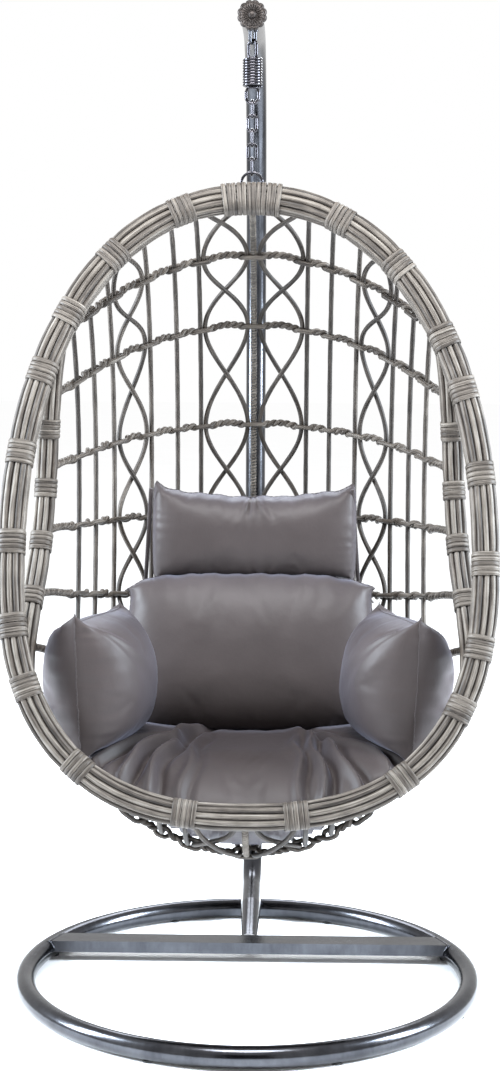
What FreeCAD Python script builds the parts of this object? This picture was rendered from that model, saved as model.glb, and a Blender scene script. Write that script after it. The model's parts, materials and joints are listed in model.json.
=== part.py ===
"""Hanging egg chair: a floor hoop with a bowed post, a spring and a chain, and a wicker basket with cushions.

Millimetres, +Z up. Shapes are drawn round the centre of the floor hoop, then every sub-part is
placed so that the origin is under the middle of the whole chair's box.
"""
import FreeCAD
import Part
import math
import os
import Sketcher
from FreeCAD import Placement, Rotation, Vector

os.makedirs("parts", exist_ok=True)
doc = FreeCAD.newDocument("hanging_egg_chair")

# ---------------------------------------------------------------- driving dimensions
DIMENSIONS = [
    ("hoopRadius", 454.0, "floor hoop, centreline radius"),
    ("hoopTube", 42.0, "floor hoop, tube diameter"),
    ("hoopWall", 2.0, "floor hoop, wall"),
    ("glideThick", 2.0, "rubber glide under the hoop"),
    ("glideRadius", 11.0, "rubber glide, radius"),
    ("glideCount", 8, "glides round the hoop"),
    ("barWidth", 56.0, "crossbar, front to back"),
    ("barHeight", 24.0, "crossbar, height"),
    ("barWall", 2.0, "crossbar, wall"),
    ("barBehind", 161.0, "crossbar centre, behind the hoop's centre"),
    ("barBottom", 20.0, "crossbar underside above the floor"),
    ("postTube", 45.0, "post, tube diameter"),
    ("postWall", 2.0, "post, wall"),
    ("footLength", 170.0, "flattened foot of the post, length"),
    ("footWidth", 34.0, "flattened foot's end, width"),
    ("footHeight", 24.0, "flattened foot's end, height"),
    ("postBack", 655.0, "post's upright run, behind the hoop's centre"),
    ("tipHeight", 1946.0, "height of the post's level tip"),
    ("tipFront", -12.0, "end of the tip"),
    ("jointHeight", 760.0, "where the two posts meet"),
    ("spigotLength", 200.0, "inner joining tube"),
    ("boltSpacing", 100.0, "between the two cross bolts"),
    ("boltRadius", 4.0, "cross bolt shank"),
    ("rosetteRadius", 23.0, "cap disc"),
    ("rosetteThick", 9.0, "cap disc thickness"),
    ("petalRadius", 6.4, "cap petal"),
    ("petalCount", 12, "cap petals"),
    ("hangBehind", 45.0, "hang axis, behind the hoop's centre"),
    ("eyeRod", 6.0, "hanger eye rod"),
    ("eyeHalf", 8.0, "half the spread of the eye's legs"),
    ("eyeBottom", 1900.0, "centre of the eye's lowest rod"),
    ("springWire", 6.0, "spring wire"),
    ("coilRadius", 19.5, "spring coil, outer radius"),
    ("coilTop", 1873.5, "top of the closed coil"),
    ("coilBottom", 1814.0, "bottom of the closed coil"),
    ("loopDrop", 1784.0, "centre of the spring's lowest wire"),
    ("linkWire", 5.0, "chain wire"),
    ("linkPitch", 28.4, "chain link, inner length"),
    ("linkWidth", 23.0, "chain link, outer width"),
    ("linkCount", 5, "chain links"),
    ("ringWire", 5.5, "hanging ring wire"),
    ("ringOuter", 47.0, "hanging ring outer diameter"),
    ("gap", 0.3, "clearance between moving wires"),
    ("rimTilt", 16.6, "lean of the front hoop's plane, degrees"),
    ("rimMidBehind", -159.6, "widest level of the front hoop, behind the hoop's centre"),
    ("rimMidHeight", 912.0, "widest level of the front hoop, height"),
    ("rimHalfWidth", 456.0, "front hoop half width"),
    ("rimUp", 716.0, "front hoop, widest level to top along its plane"),
    ("rimDown", 503.0, "front hoop, widest level to bottom along its plane"),
    ("rimPowerUp", 2.17, "front hoop outline power above the widest level"),
    ("rimPowerDown", 2.53, "front hoop outline power below it"),
    ("rimBundle", 52.0, "front bundle, across"),
    ("rimCore", 30.0, "front hoop steel tube"),
    ("coreWall", 1.5, "basket steel tube wall"),
    ("arcBundle", 42.0, "side bundle, across"),
    ("arcCore", 22.0, "side arc steel tube"),
    ("arcUpper", 430.0, "side arc leaves the front hoop this far above the widest level"),
    ("arcLower", -250.0, "side arc rejoins the front hoop here"),
    ("arcInset", 46.0, "side arc, most inward of the front hoop"),
    ("arcBack", 96.0, "side arc, most behind the front hoop's plane"),
    ("bandLength", 50.0, "flat wrap along the bundle"),
    ("bandThick", 3.0, "flat wrap thickness"),
    ("topWrapLength", 118.0, "wide wrap at the top"),
    ("stakeRod", 10.0, "upright wicker rod"),
    ("spineRod", 9.0, "centre spine steel rod"),
    ("spineOuter", 14.0, "centre spine over its spiral wrap"),
    ("ropeRod", 12.0, "twisted rope row"),
    ("latticeRod", 10.0, "waved lattice strand"),
]
sheet = doc.addObject("Spreadsheet::Sheet", "dimensions")
for index, (alias, value, note) in enumerate(DIMENSIONS, start=1):
    sheet.set(f"A{index}", note)
    sheet.set(f"B{index}", str(value))
    sheet.setAlias(f"B{index}", alias)
doc.recompute()
size = {alias: float(sheet.get(alias)) for alias, _, _ in DIMENSIONS}

# centre line of the basket's middle rib, from the hoop's top, down the back, to its bottom
SPINE_POINTS = [
    (45.0, 1598.0), (190.0, 1548.0), (300.0, 1440.0), (375.0, 1270.0), (405.0, 1080.0),
    (400.0, 880.0), (368.0, 680.0), (290.0, 502.0), (170.0, 384.0), (20.0, 320.0),
    (-130.0, 312.0), (-250.0, 366.0), (-303.0, 430.0),
]
# rope rows: share of the way down the middle rib, and height on the front hoop's plane
ROW_LEVELS = [
    (0.120, 426.0), (0.208, 311.0), (0.320, 172.0), (0.420, 48.0),
    (0.512, -80.0), (0.605, -182.0), (0.720, -300.0), (0.885, -430.0),
]
# how a row falls away to the sides, down the rib: 0.5 is an ellipse, 1 a parabola
NET_POWERS = [(0.0, 0.90), (0.50, 0.67), (0.72, 0.62), (0.885, 0.78), (1.0, 0.85)]
STAKE_PLACES = [115.0, 165.0, 220.0, 295.0, 330.0, 360.0]
# seat cushion, from its underside up: height, half width, half depth
SEAT_RINGS = [
    (343.0, 55.0, 55.0), (367.0, 130.0, 118.0), (400.0, 188.0, 168.0), (440.0, 236.0, 205.0),
    (480.0, 266.0, 222.0), (506.0, 240.0, 190.0), (527.0, 160.0, 96.0),
]

# ---------------------------------------------------------------- geometry helpers
tilt = math.radians(size["rimTilt"])
rear, front = size["postBack"] + size["postTube"] / 2, size["hoopRadius"] + size["hoopTube"] / 2
SHIFT = Vector(0, (front - rear) / 2, 0)
parts = {}


def smooth(table, x):
    """Value at x of a smooth curve through (x, value) pairs."""
    last = len(table) - 2
    i = min(max(sum(1 for a, _ in table if a <= x) - 1, 0), last)
    slopes = []
    for k in (i, i + 1):
        low, high = max(k - 1, 0), min(k + 1, len(table) - 1)
        slopes.append((table[high][1] - table[low][1]) / (table[high][0] - table[low][0]))
    width = table[i + 1][0] - table[i][0]
    s = (x - table[i][0]) / width
    return (
        table[i][1] * (1 + 2 * s) * (1 - s) ** 2
        + table[i + 1][1] * s * s * (3 - 2 * s)
        + slopes[0] * width * s * (1 - s) ** 2
        - slopes[1] * width * s * s * (1 - s)
    )


def share_table(points):
    """Lengths along a run of points, as shares of the whole."""
    lengths = [0.0]
    for a, b in zip(points, points[1:]):
        lengths.append(lengths[-1] + math.dist(a, b))
    return [x / lengths[-1] for x in lengths]


SHARES = share_table(SPINE_POINTS)
SPINE_Y = [(share, point[0]) for share, point in zip(SHARES, SPINE_POINTS)]
SPINE_Z = [(share, point[1]) for share, point in zip(SHARES, SPINE_POINTS)]
LEVELS = [(0.0, size["rimUp"])] + ROW_LEVELS + [(1.0, -size["rimDown"])]


def on_plane(across, along, behind=0.0):
    """A point given in the front hoop's own plane."""
    return Vector(
        across,
        size["rimMidBehind"] + along * math.sin(tilt) + behind * math.cos(tilt),
        size["rimMidHeight"] + along * math.cos(tilt) - behind * math.sin(tilt),
    )


def rim_power(along):
    return size["rimPowerUp"] if along > 0 else size["rimPowerDown"]


def rim_half(along):
    """Half width of the front hoop's centreline at a level of its plane."""
    reach = size["rimUp"] if along > 0 else size["rimDown"]
    power = rim_power(along)
    share = min(abs(along) / reach, 1.0)
    return size["rimHalfWidth"] * (1 - share ** power) ** (1 / power)


def rim_point(turn):
    """Front hoop centreline, turn 0 at the top, clockwise seen from the front."""
    power = 2 / rim_power(math.cos(turn))
    across = math.copysign(abs(math.sin(turn)) ** power, math.sin(turn)) * size["rimHalfWidth"]
    reach = size["rimUp"] if math.cos(turn) > 0 else size["rimDown"]
    return on_plane(across, math.copysign(abs(math.cos(turn)) ** power, math.cos(turn)) * reach)


def side_point(along):
    """Right edge of the net: the front hoop, or the side arc where there is one."""
    share = (along - size["arcLower"]) / (size["arcUpper"] - size["arcLower"])
    bulge = math.sin(math.pi * share) if 0 < share < 1 else 0.0
    return on_plane(rim_half(along) - size["arcInset"] * bulge, along, size["arcBack"] * bulge)


def net_point(across, share, out=0.0):
    """A point of the net, at a distance outwards from its middle surface."""
    edge = side_point(smooth(LEVELS, share))
    inside = max(1 - (across / max(edge.x, 1.0)) ** 2, 0.0)
    power = smooth(NET_POWERS, share)
    point = Vector(
        across,
        edge.y + (smooth(SPINE_Y, share) - edge.y) * math.sqrt(inside),
        edge.z + (smooth(SPINE_Z, share) - edge.z) * inside ** power,
    )
    if out:
        step = 2.0 if across < 0 else -2.0
        small = 0.002 if share < 0.5 else -0.002
        sideways = (net_point(across + step, share) - point) * (1 / step)
        down = (net_point(across, share + small) - point) * (1 / small)
        normal = sideways.cross(down)
        point = point + normal.normalize() * out
    return point


def near(point, line):
    """Distance from a point to a run of points."""
    return min(point.distanceToPoint(other) for other in line)


def rounded_path(points, closed=False):
    """Straight runs joined by tangent arcs that are as large as the runs allow."""
    count = len(points)
    corners = range(count) if closed else range(1, count - 1)
    pieces = {}
    for i in corners:
        here, before, after = points[i], points[i - 1], points[(i + 1) % count]
        into = (here - before).normalize()
        away = (after - here).normalize()
        turn = into.getAngle(away)
        if turn < 1e-4:
            continue
        reach = 0.49 * min((here - before).Length, (after - here).Length)
        radius = reach / math.tan(turn / 2)
        middle = here + (away - into).normalize() * (radius / math.cos(turn / 2) - radius)
        pieces[i] = (here - into * reach, middle, here + away * reach)
    edges = []
    keys = sorted(pieces)
    at = pieces[keys[-1]][2] if closed else points[0]
    for i in keys:
        start, middle, end = pieces[i]
        if at.distanceToPoint(start) > 1e-6:
            edges.append(Part.LineSegment(at, start).toShape())
        edges.append(Part.Arc(start, middle, end).toShape())
        at = end
    if not closed:
        edges.append(Part.LineSegment(at, points[-1]).toShape())
    return Part.Wire(edges)


def start_of(path):
    """First point and direction of a wire."""
    edge = path.OrderedEdges[0]
    parameter = edge.FirstParameter
    return edge.valueAt(parameter), edge.tangentAt(parameter)


def rod(points, radius, closed=False):
    """Round rod or tube along a rounded path."""
    path = rounded_path(points, closed)
    centre, direction = start_of(path)
    ring = Part.Wire(Part.makeCircle(radius, centre, direction))
    return path.makePipeShell([ring], True, False)


def tube(points, radius, wall):
    """Hollow tube along a rounded path, open at both ends."""
    return rod(points, radius).cut(rod(points, radius - wall))


def round_square(centre, across, through, half_across, half_through, corner):
    """Closed wire of a rectangle with round corners, in the plane of two directions."""
    signs = [(1, 1), (-1, 1), (-1, -1), (1, -1)]
    edges = []
    points = []
    for a, b in signs:
        inner = centre + across * (a * (half_across - corner)) + through * (b * (half_through - corner))
        first, second = across * (a * corner), through * (b * corner)
        if a * b < 0:
            first, second = second, first
        points.append((inner + first, inner + (first + second) * math.sqrt(0.5), inner + second))
    for k, (start, middle, end) in enumerate(points):
        edges.append(Part.Arc(start, middle, end).toShape())
        edges.append(Part.LineSegment(end, points[(k + 1) % 4][0]).toShape())
    return Part.Wire(edges)


def plane_axes(direction):
    """The hoop plane's normal, and the direction in the plane across a run."""
    through = Vector(0, math.cos(tilt), -math.sin(tilt))
    across = direction.cross(through).normalize()
    return across, direction.cross(across).normalize()


def bundle(points, half, corner, closed=False):
    """Solid of a strand bundle with a rounded square section."""
    path = rounded_path(points, closed)
    centre, direction = start_of(path)
    across, through = plane_axes(direction)
    wire = round_square(centre, across, through, half, half, corner)
    return path.makePipeShell([wire], True, False)


def band(centre, direction, half, thick, corner, length):
    """Flat wrap: a short sleeve round a bundle."""
    direction = Vector(direction).normalize()
    across, through = plane_axes(direction)
    start = centre - direction * (length / 2)
    outer = round_square(start, across, through, half + thick, half + thick, corner + thick)
    inner = round_square(start, across, through, half, half, corner)
    solid = Part.Face(outer).extrude(direction * length)
    return solid.cut(Part.Face(inner).extrude(direction * length))


def keep(name, shape):
    """Adds a sub-part whose shape is worked out here."""
    feature = doc.addObject("Part::Feature", name)
    feature.Label = name
    feature.Shape = shape
    feature.Placement = Placement(SHIFT, Rotation()).multiply(shape.Placement)
    parts[name] = feature
    return feature


def own(name, feature, base=Placement()):
    """Adds a sub-part made by a feature or body, moved to the chair's origin."""
    feature.Label = name
    feature.Placement = Placement(SHIFT, Rotation()).multiply(base)
    parts[name] = feature
    return feature


def bind(feature, **expressions):
    """Ties a feature's properties to the sheet."""
    for name, expression in expressions.items():
        feature.setExpression(name, expression)
    return feature


def plane_of(body, role):
    """One of a body's own origin planes."""
    return next(f for f in body.Origin.OriginFeatures if f.Role == role)


def sketch_on(body, role, name):
    """An empty sketch on one of the body's origin planes."""
    sketch = body.newObject("Sketcher::SketchObject", name)
    sketch.AttachmentSupport = [(plane_of(body, role), "")]
    sketch.MapMode = "FlatFace"
    return sketch


def add_circle(sketch, along, radius, radius_expression, along_expression=None):
    """A circle on the sketch's horizontal axis, sized by the sheet."""
    number = sketch.addGeometry(Part.Circle(Vector(along, 0, 0), Vector(0, 0, 1), radius), False)
    sketch.addConstraint(Sketcher.Constraint("PointOnObject", number, 3, -1))
    if along_expression:
        place = sketch.addConstraint(Sketcher.Constraint("DistanceX", -1, 1, number, 3, along))
        sketch.setExpression(f"Constraints[{place}]", along_expression)
    else:
        sketch.addConstraint(Sketcher.Constraint("PointOnObject", number, 3, -2))
    width = sketch.addConstraint(Sketcher.Constraint("Radius", number, radius))
    sketch.setExpression(f"Constraints[{width}]", radius_expression)


def add_polygon(sketch, corners):
    """A closed outline with fixed corners."""
    first = sketch.GeometryCount
    count = len(corners)
    for a, b in zip(corners, corners[1:] + corners[:1]):
        sketch.addGeometry(Part.LineSegment(Vector(*a, 0), Vector(*b, 0)), False)
    for k in range(count):
        sketch.addConstraint(Sketcher.Constraint("Coincident", first + k, 2, first + (k + 1) % count, 1))


# ---------------------------------------------------------------- stand
def make_hoop():
    body = doc.addObject("PartDesign::Body", "base_ring")
    sketch = sketch_on(body, "XZ_Plane", "hoop_section")
    add_circle(
        sketch, size["hoopRadius"], size["hoopTube"] / 2, "dimensions.hoopTube / 2", "dimensions.hoopRadius"
    )
    add_circle(
        sketch, size["hoopRadius"], size["hoopTube"] / 2 - size["hoopWall"],
        "dimensions.hoopTube / 2 - dimensions.hoopWall", "dimensions.hoopRadius",
    )
    turned = body.newObject("PartDesign::Revolution", "hoop")
    turned.Profile = sketch
    turned.ReferenceAxis = (sketch, ["V_Axis"])
    turned.Angle = 360
    body.Tip = turned
    own("base_ring", body, Placement(Vector(0, 0, hoop_height()), Rotation()))


def hoop_height():
    return size["glideThick"] + size["hoopTube"] / 2


def hoop_solid(grow=0.0):
    solid = Part.makeTorus(size["hoopRadius"], size["hoopTube"] / 2 + grow)
    solid.translate(Vector(0, 0, hoop_height()))
    return solid


def make_glides():
    pads = []
    thick = size["glideThick"] + 1.5
    for k in range(int(size["glideCount"])):
        turn = 2 * math.pi * (k + 0.5) / size["glideCount"]
        foot = Vector(math.cos(turn), math.sin(turn), 0) * size["hoopRadius"]
        pads.append(Part.makeCylinder(size["glideRadius"], thick, foot).cut(hoop_solid(0.02)))
    keep("floor_glides", Part.makeCompound(pads))


def make_crossbar():
    length = 2 * size["hoopRadius"]
    outer = bind(
        doc.addObject("Part::Box", "bar_outside"), Width="dimensions.barWidth", Height="dimensions.barHeight"
    )
    outer.Length = length
    inner = bind(
        doc.addObject("Part::Box", "bar_inside"),
        Width="dimensions.barWidth - 2 * dimensions.barWall",
        Height="dimensions.barHeight - 2 * dimensions.barWall",
    )
    inner.Length = length
    corner = Vector(-length / 2, size["barBehind"] - size["barWidth"] / 2, size["barBottom"])
    outer.Placement.Base = corner
    inner.Placement.Base = corner + Vector(0, size["barWall"], size["barWall"])
    hollow = doc.addObject("Part::Cut", "bar_tube")
    hollow.Base, hollow.Tool = outer, inner
    inside = bind(doc.addObject("Part::Cylinder", "hoop_mouth"), Radius="dimensions.hoopRadius")
    inside.Height = 100
    rim = bind(
        doc.addObject("Part::Torus", "hoop_cutter"),
        Radius1="dimensions.hoopRadius", Radius2="dimensions.hoopTube / 2 + dimensions.gap",
    )
    rim.Placement.Base = Vector(0, 0, hoop_height())
    within = doc.addObject("Part::Common", "bar_within")
    within.Base, within.Tool = hollow, inside
    bar = doc.addObject("Part::Cut", "base_crossbar")
    bar.Base, bar.Tool = within, rim
    own("base_crossbar", bar)


def post_route():
    """Corner points of the post's centre line, from the foot to the tip."""
    back, top = size["postBack"], size["tipHeight"]
    foot = size["barBehind"] + size["barWidth"] / 2 + size["gap"]
    middle = size["barBottom"] + size["barHeight"] / 2
    return [
        Vector(0, foot, middle), Vector(0, back - 95, middle + 50), Vector(0, back, 330),
        Vector(0, back, 1480), Vector(0, back - 185, top), Vector(0, size["tipFront"], top),
    ]


def make_posts():
    outer, wall = size["postTube"] / 2, size["postWall"]
    route = post_route()
    split = Vector(0, size["postBack"], size["jointHeight"])
    small = Vector(0, 0, size["gap"] / 2)
    lower_route = route[:3] + [split - small]
    upper_route = [split + small] + route[3:]
    lean = (route[1] - route[0]).normalize()
    lower_route[0] = route[0] + lean * size["footLength"]

    def foot(less):
        end = Part.Ellipse(Vector(0, 0, 0), size["footWidth"] / 2 - less, size["footHeight"] / 2 - less)
        flat = Part.Wire(end.toShape())
        flat.Placement = Placement(route[0], Rotation(Vector(0, 0, 1), Vector(0, 1, 0)))
        full = Part.Wire(Part.makeCircle(outer - less, lower_route[0], lean))
        return Part.makeLoft([flat, full], True)

    lower = rod(lower_route, outer).fuse(foot(0.0)).cut(rod(lower_route, outer - wall)).cut(foot(wall))
    upper = tube(upper_route, outer, wall)
    bore = Part.makeCompound(bolt_cylinders(size["boltRadius"] + size["gap"], 2 * size["postTube"]))
    keep("lower_post", lower.cut(bore))
    keep("upper_post", upper.cut(bore))
    spigot_outer = outer - wall - size["gap"]
    spigot = Part.makeCylinder(spigot_outer, size["spigotLength"])
    spigot = spigot.cut(Part.makeCylinder(spigot_outer - wall, size["spigotLength"]))
    spigot.translate(split - Vector(0, 0, size["spigotLength"] / 2))
    keep("post_spigot", spigot.cut(bore))
    bolts = []
    for shank in bolt_cylinders(size["boltRadius"], size["postTube"] + 12):
        centre = shank.BoundBox.Center
        head = Part.makeCylinder(7.0, 5.0, centre + Vector(outer + size["gap"], 0, 0), Vector(1, 0, 0))
        turns = [k * math.pi / 3 for k in range(7)]
        nut_face = Part.makePolygon(
            [Vector(-outer - size["gap"], 7.4 * math.cos(turn), 7.4 * math.sin(turn)) for turn in turns]
        )
        nut = Part.Face(nut_face).extrude(Vector(-6, 0, 0))
        nut.translate(Vector(0, centre.y, centre.z))
        bolts.append(shank.fuse([head, nut]).removeSplitter())
    keep("post_bolts", Part.makeCompound(bolts))


def bolt_cylinders(radius, length):
    """Cross bolt shanks through the post joint."""
    made = []
    for side in (-0.5, 0.5):
        start = Vector(-length / 2, size["postBack"], size["jointHeight"] + side * size["boltSpacing"])
        made.append(Part.makeCylinder(radius, length, start, Vector(1, 0, 0)))
    return made


def make_rosette():
    body = doc.addObject("PartDesign::Body", "rosette_cap")
    disc_sketch = sketch_on(body, "XZ_Plane", "disc_outline")
    add_circle(disc_sketch, 0, size["rosetteRadius"], "dimensions.rosetteRadius")
    disc = bind(body.newObject("PartDesign::Pad", "disc"), Length="dimensions.rosetteThick")
    disc.Profile = disc_sketch
    petal_sketch = sketch_on(body, "XZ_Plane", "petal_outline")
    add_circle(
        petal_sketch, size["rosetteRadius"], size["petalRadius"],
        "dimensions.petalRadius", "dimensions.rosetteRadius"
    )
    petal = bind(body.newObject("PartDesign::Pad", "petal"), Length="dimensions.rosetteThick")
    petal.Profile = petal_sketch
    petals = body.newObject("PartDesign::PolarPattern", "petals")
    petals.Originals = [petal]
    petals.Axis = (petal_sketch, ["N_Axis"])
    petals.Angle = 360
    petals.setExpression("Occurrences", "dimensions.petalCount")
    body.Tip = petals
    boss_sketch = sketch_on(body, "YZ_Plane", "boss_section")
    thick = size["rosetteThick"]
    add_polygon(
        boss_sketch, [(1 - thick, 0), (1 - thick, 10), (-thick - 3, 8), (-thick - 5, 4), (-thick - 6, 0)]
    )
    boss = body.newObject("PartDesign::Revolution", "boss")
    boss.Profile = boss_sketch
    boss.ReferenceAxis = (boss_sketch, ["H_Axis"])
    boss.Angle = 360
    body.Tip = boss
    place = Vector(0, size["tipFront"] - size["gap"], size["tipHeight"])
    own("rosette_cap", body, Placement(place, Rotation()))


def hang(x, y, z):
    """A point measured from the hang axis."""
    return Vector(x, size["hangBehind"] + y, z)


def turned(shape, degrees):
    """A shape turned about the hang axis."""
    return shape.rotate(hang(0, 0, 0), Vector(0, 0, 1), degrees)


def make_hanger_eye():
    half, low = size["eyeHalf"], size["eyeBottom"]
    post_underside = size["tipHeight"] - size["postTube"] / 2
    bend = [hang(half, 0, post_underside + 6), hang(half, 0, low + half)]
    arc = Part.Arc(bend[1], hang(0, 0, low), hang(-half, 0, low + half)).toShape()
    legs = [
        Part.LineSegment(bend[0], bend[1]).toShape(), arc,
        Part.LineSegment(hang(-half, 0, low + half), hang(-half, 0, post_underside + 6)).toShape(),
    ]
    path = Part.Wire(legs)
    ring = Part.Wire(Part.makeCircle(size["eyeRod"] / 2, bend[0], Vector(0, 0, -1)))
    eye = turned(path.makePipeShell([ring], True, False), 50)
    start = hang(0, -200, size["tipHeight"])
    tip = Part.makeCylinder(size["postTube"] / 2 + size["gap"], 400, start, Vector(0, 1, 0))
    keep("hanger_eye", eye.cut(tip))


# ---------------------------------------------------------------- spring and chain
def stadium(width, height, wire, top):
    """Closed chain link in the X-Z plane, its outermost top at the given height."""
    radius = (width - wire) / 2
    high = top - wire / 2 - radius
    low = top - height + wire / 2 + radius
    edges = [
        Part.LineSegment(hang(radius, 0, (high + low) / 2), hang(radius, 0, high)).toShape(),
        Part.Arc(hang(radius, 0, high), hang(0, 0, high + radius), hang(-radius, 0, high)).toShape(),
        Part.LineSegment(hang(-radius, 0, high), hang(-radius, 0, low)).toShape(),
        Part.Arc(hang(-radius, 0, low), hang(0, 0, low - radius), hang(radius, 0, low)).toShape(),
        Part.LineSegment(hang(radius, 0, low), hang(radius, 0, (high + low) / 2)).toShape(),
    ]
    ring = Part.Wire(Part.makeCircle(wire / 2, hang(radius, 0, (high + low) / 2), Vector(0, 0, 1)))
    return Part.Wire(edges).makePipeShell([ring], True, False)


def make_spring():
    wire, outer = size["springWire"], size["coilRadius"]
    top, bottom = size["coilTop"], size["coilBottom"]
    crown = size["eyeBottom"] + size["eyeRod"] / 2 + wire + 2.4 * size["gap"]
    hook = turned(stadium(26.0, crown - top + wire, wire, crown), -40)
    above = Part.makeBox(100, 100, 100, hang(-50, -50, top + size["gap"]))
    keep("spring_top_hook", hook.common(above))
    body = doc.addObject("PartDesign::Body", "spring_coil")
    sketch = sketch_on(body, "XY_Plane", "coil_section")
    add_circle(sketch, 0, outer, "dimensions.coilRadius")
    add_circle(sketch, 0, outer - wire, "dimensions.coilRadius - dimensions.springWire")
    coil = body.newObject("PartDesign::Pad", "coil")
    bind(coil, Length="dimensions.coilTop - dimensions.coilBottom")
    coil.Profile = sketch
    body.Tip = coil
    own("spring_coil", body, Placement(hang(0, 0, bottom), Rotation()))
    loop = stadium(31.0, bottom + 5 - size["loopDrop"] + wire / 2, wire, bottom + 5)
    below = Part.makeBox(100, 100, 100, hang(-50, -50, bottom - size["gap"] - 100))
    keep("spring_bottom_loop", loop.common(below))


def make_chain():
    """Five links, each hung on the one above with a small clearance; gives the last contact."""
    wire = size["linkWire"]
    length = size["linkPitch"] + 2 * wire
    contact = size["loopDrop"]
    reach = size["springWire"] / 2 + wire + size["gap"]
    for k in range(int(size["linkCount"])):
        link = stadium(size["linkWidth"], length, wire, contact + reach)
        keep(f"chain_link_{k + 1}", turned(link, 90) if k % 2 == 0 else link)
        contact = contact + reach - length + wire / 2
        reach = wire * 1.5 + size["gap"]
    return contact


def make_hanging_ring(contact, core):
    wire, outer = size["ringWire"], size["ringOuter"]
    crown = contact + size["linkWire"] / 2 + wire + size["gap"]
    ring = Part.makeTorus((outer - wire) / 2, wire / 2, hang(0, 0, crown - outer / 2), Vector(0, 1, 0))
    keep("hanging_ring", ring.cut(core))
    centre = hang(0, 0, crown - outer / 2)
    return Part.makeTorus((outer - wire) / 2, wire / 2 + size["gap"], centre, Vector(0, 1, 0))


# ---------------------------------------------------------------- basket
RIM_CORNERS = 48
# flat wraps round the front hoop: degrees from its top, clockwise is the right side
WRAP_TURNS = [21, 38, 55, 65, 79, 91, 106, 121, 145, 172]
WRAP_TURNS += [-16, -35, -50, -62, -76, -89, -102, -116, -141, -170]
RIM_LINE = [rim_point(2 * math.pi * k / 160) for k in range(160)]
ARC_LINE = [
    side_point(size["arcLower"] + (size["arcUpper"] - size["arcLower"]) * k / 60) for k in range(61)
]
ARC_LINES = ARC_LINE + [Vector(-p.x, p.y, p.z) for p in ARC_LINE]


def rim_corners():
    """Corner points whose rounded path keeps to the hoop's centreline."""
    step = 2 * math.pi / RIM_CORNERS
    middle = on_plane(0, (size["rimUp"] - size["rimDown"]) / 2)
    outside = 1 / math.cos(step / 2) ** 0.5
    return [middle + (rim_point(step * (k + 0.5)) - middle) * outside for k in range(RIM_CORNERS)]


def mirror(shape):
    return shape.mirror(Vector(0, 0, 0), Vector(1, 0, 0))


def make_rim(contact):
    corners = rim_corners()
    core_solid = rod(corners, size["rimCore"] / 2, closed=True)
    core = core_solid.cut(rod(corners, size["rimCore"] / 2 - size["coreWall"], closed=True))
    keep("front_hoop_core", core)
    ring_space = make_hanging_ring(contact, rod(corners, size["rimCore"] / 2 + 0.1, closed=True))
    half = size["rimBundle"] / 2
    skin = bundle(corners, half, 16.0, closed=True).cut(rod(corners, size["rimCore"] / 2 + 0.2, closed=True))
    keep("front_rim_wicker", skin.cut(ring_space))
    return ring_space


def rim_direction(turn):
    return (rim_point(turn + 0.01) - rim_point(turn - 0.01)).normalize()


def make_bands(ring_space):
    half = size["rimBundle"] / 2 + 1.8
    bands = []
    for degrees in WRAP_TURNS:
        turn = math.radians(degrees)
        place, direction = rim_point(turn), rim_direction(turn)
        bands.append(band(place, direction, half, size["bandThick"], 16.0, size["bandLength"]))
    keep("rim_bands", Part.makeCompound(bands))
    reach = size["topWrapLength"] / 2
    middle = [on_plane(x * reach / 4, rim_level(abs(x) * reach / 4)) for x in range(-4, 5)]
    wrap = bundle(middle, half + size["bandThick"], 18.0).cut(bundle(middle, half, 16.0)).cut(ring_space)
    keep("top_wrap", wrap)


def rim_level(across):
    """Level of the front hoop's upper part at a distance from the middle."""
    power = size["rimPowerUp"]
    share = (across / size["rimHalfWidth"]) ** power
    return size["rimUp"] * (1 - share) ** (1 / power)


def make_side_arcs():
    levels = [size["arcLower"] + (size["arcUpper"] - size["arcLower"]) * k / 18 for k in range(19)]
    points = [side_point(level) for level in levels]
    corners = rim_corners()
    envelope = bundle(corners, size["rimBundle"] / 2 + 6.2, 19.0, closed=True)
    core = rod(points, size["arcCore"] / 2).cut(envelope)
    core = core.cut(rod(points, size["arcCore"] / 2 - size["coreWall"]))
    skin = bundle(points, size["arcBundle"] / 2, 13.0).cut(envelope)
    skin = skin.cut(rod(points, size["arcCore"] / 2 + 0.2))
    half = size["arcBundle"] / 2 + 1.8
    bands = []
    for share in (0.25, 0.42, 0.58, 0.75):
        level = size["arcLower"] + (size["arcUpper"] - size["arcLower"]) * share
        direction = side_point(level + 5) - side_point(level - 5)
        right = band(side_point(level), direction, half, size["bandThick"], 13.0, size["bandLength"] * 0.8)
        bands += [right, mirror(right)]
    keep("side_arc_bands", Part.makeCompound(bands))
    for side, change in (("right", lambda s: s), ("left", mirror)):
        keep(f"side_arc_core_{side}", change(core))
        keep(f"side_arc_wicker_{side}", change(skin))


def free_stretch(line, rim_clear, arc_clear):
    """The longest run of points that is clear of the front hoop and the side arcs."""
    best, run = [], []
    for point in line:
        if near(point, RIM_LINE) > rim_clear and near(point, ARC_LINES) > arc_clear:
            run.append(point)
        else:
            run = []
        if len(run) > len(best):
            best = run
    return best


def thin(line, count):
    """Evenly chosen points of a line, with both ends."""
    return [line[round(k * (len(line) - 1) / (count - 1))] for k in range(count)]


def rib(across, out=0.0, steps=240):
    """Points of the net from the hoop's top to its bottom in one upright plane."""
    line = []
    for k in range(steps + 1):
        share = k / steps
        if side_point(smooth(LEVELS, share)).x > abs(across) + 1.0:
            line.append(net_point(across, share, out))
    return line


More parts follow.
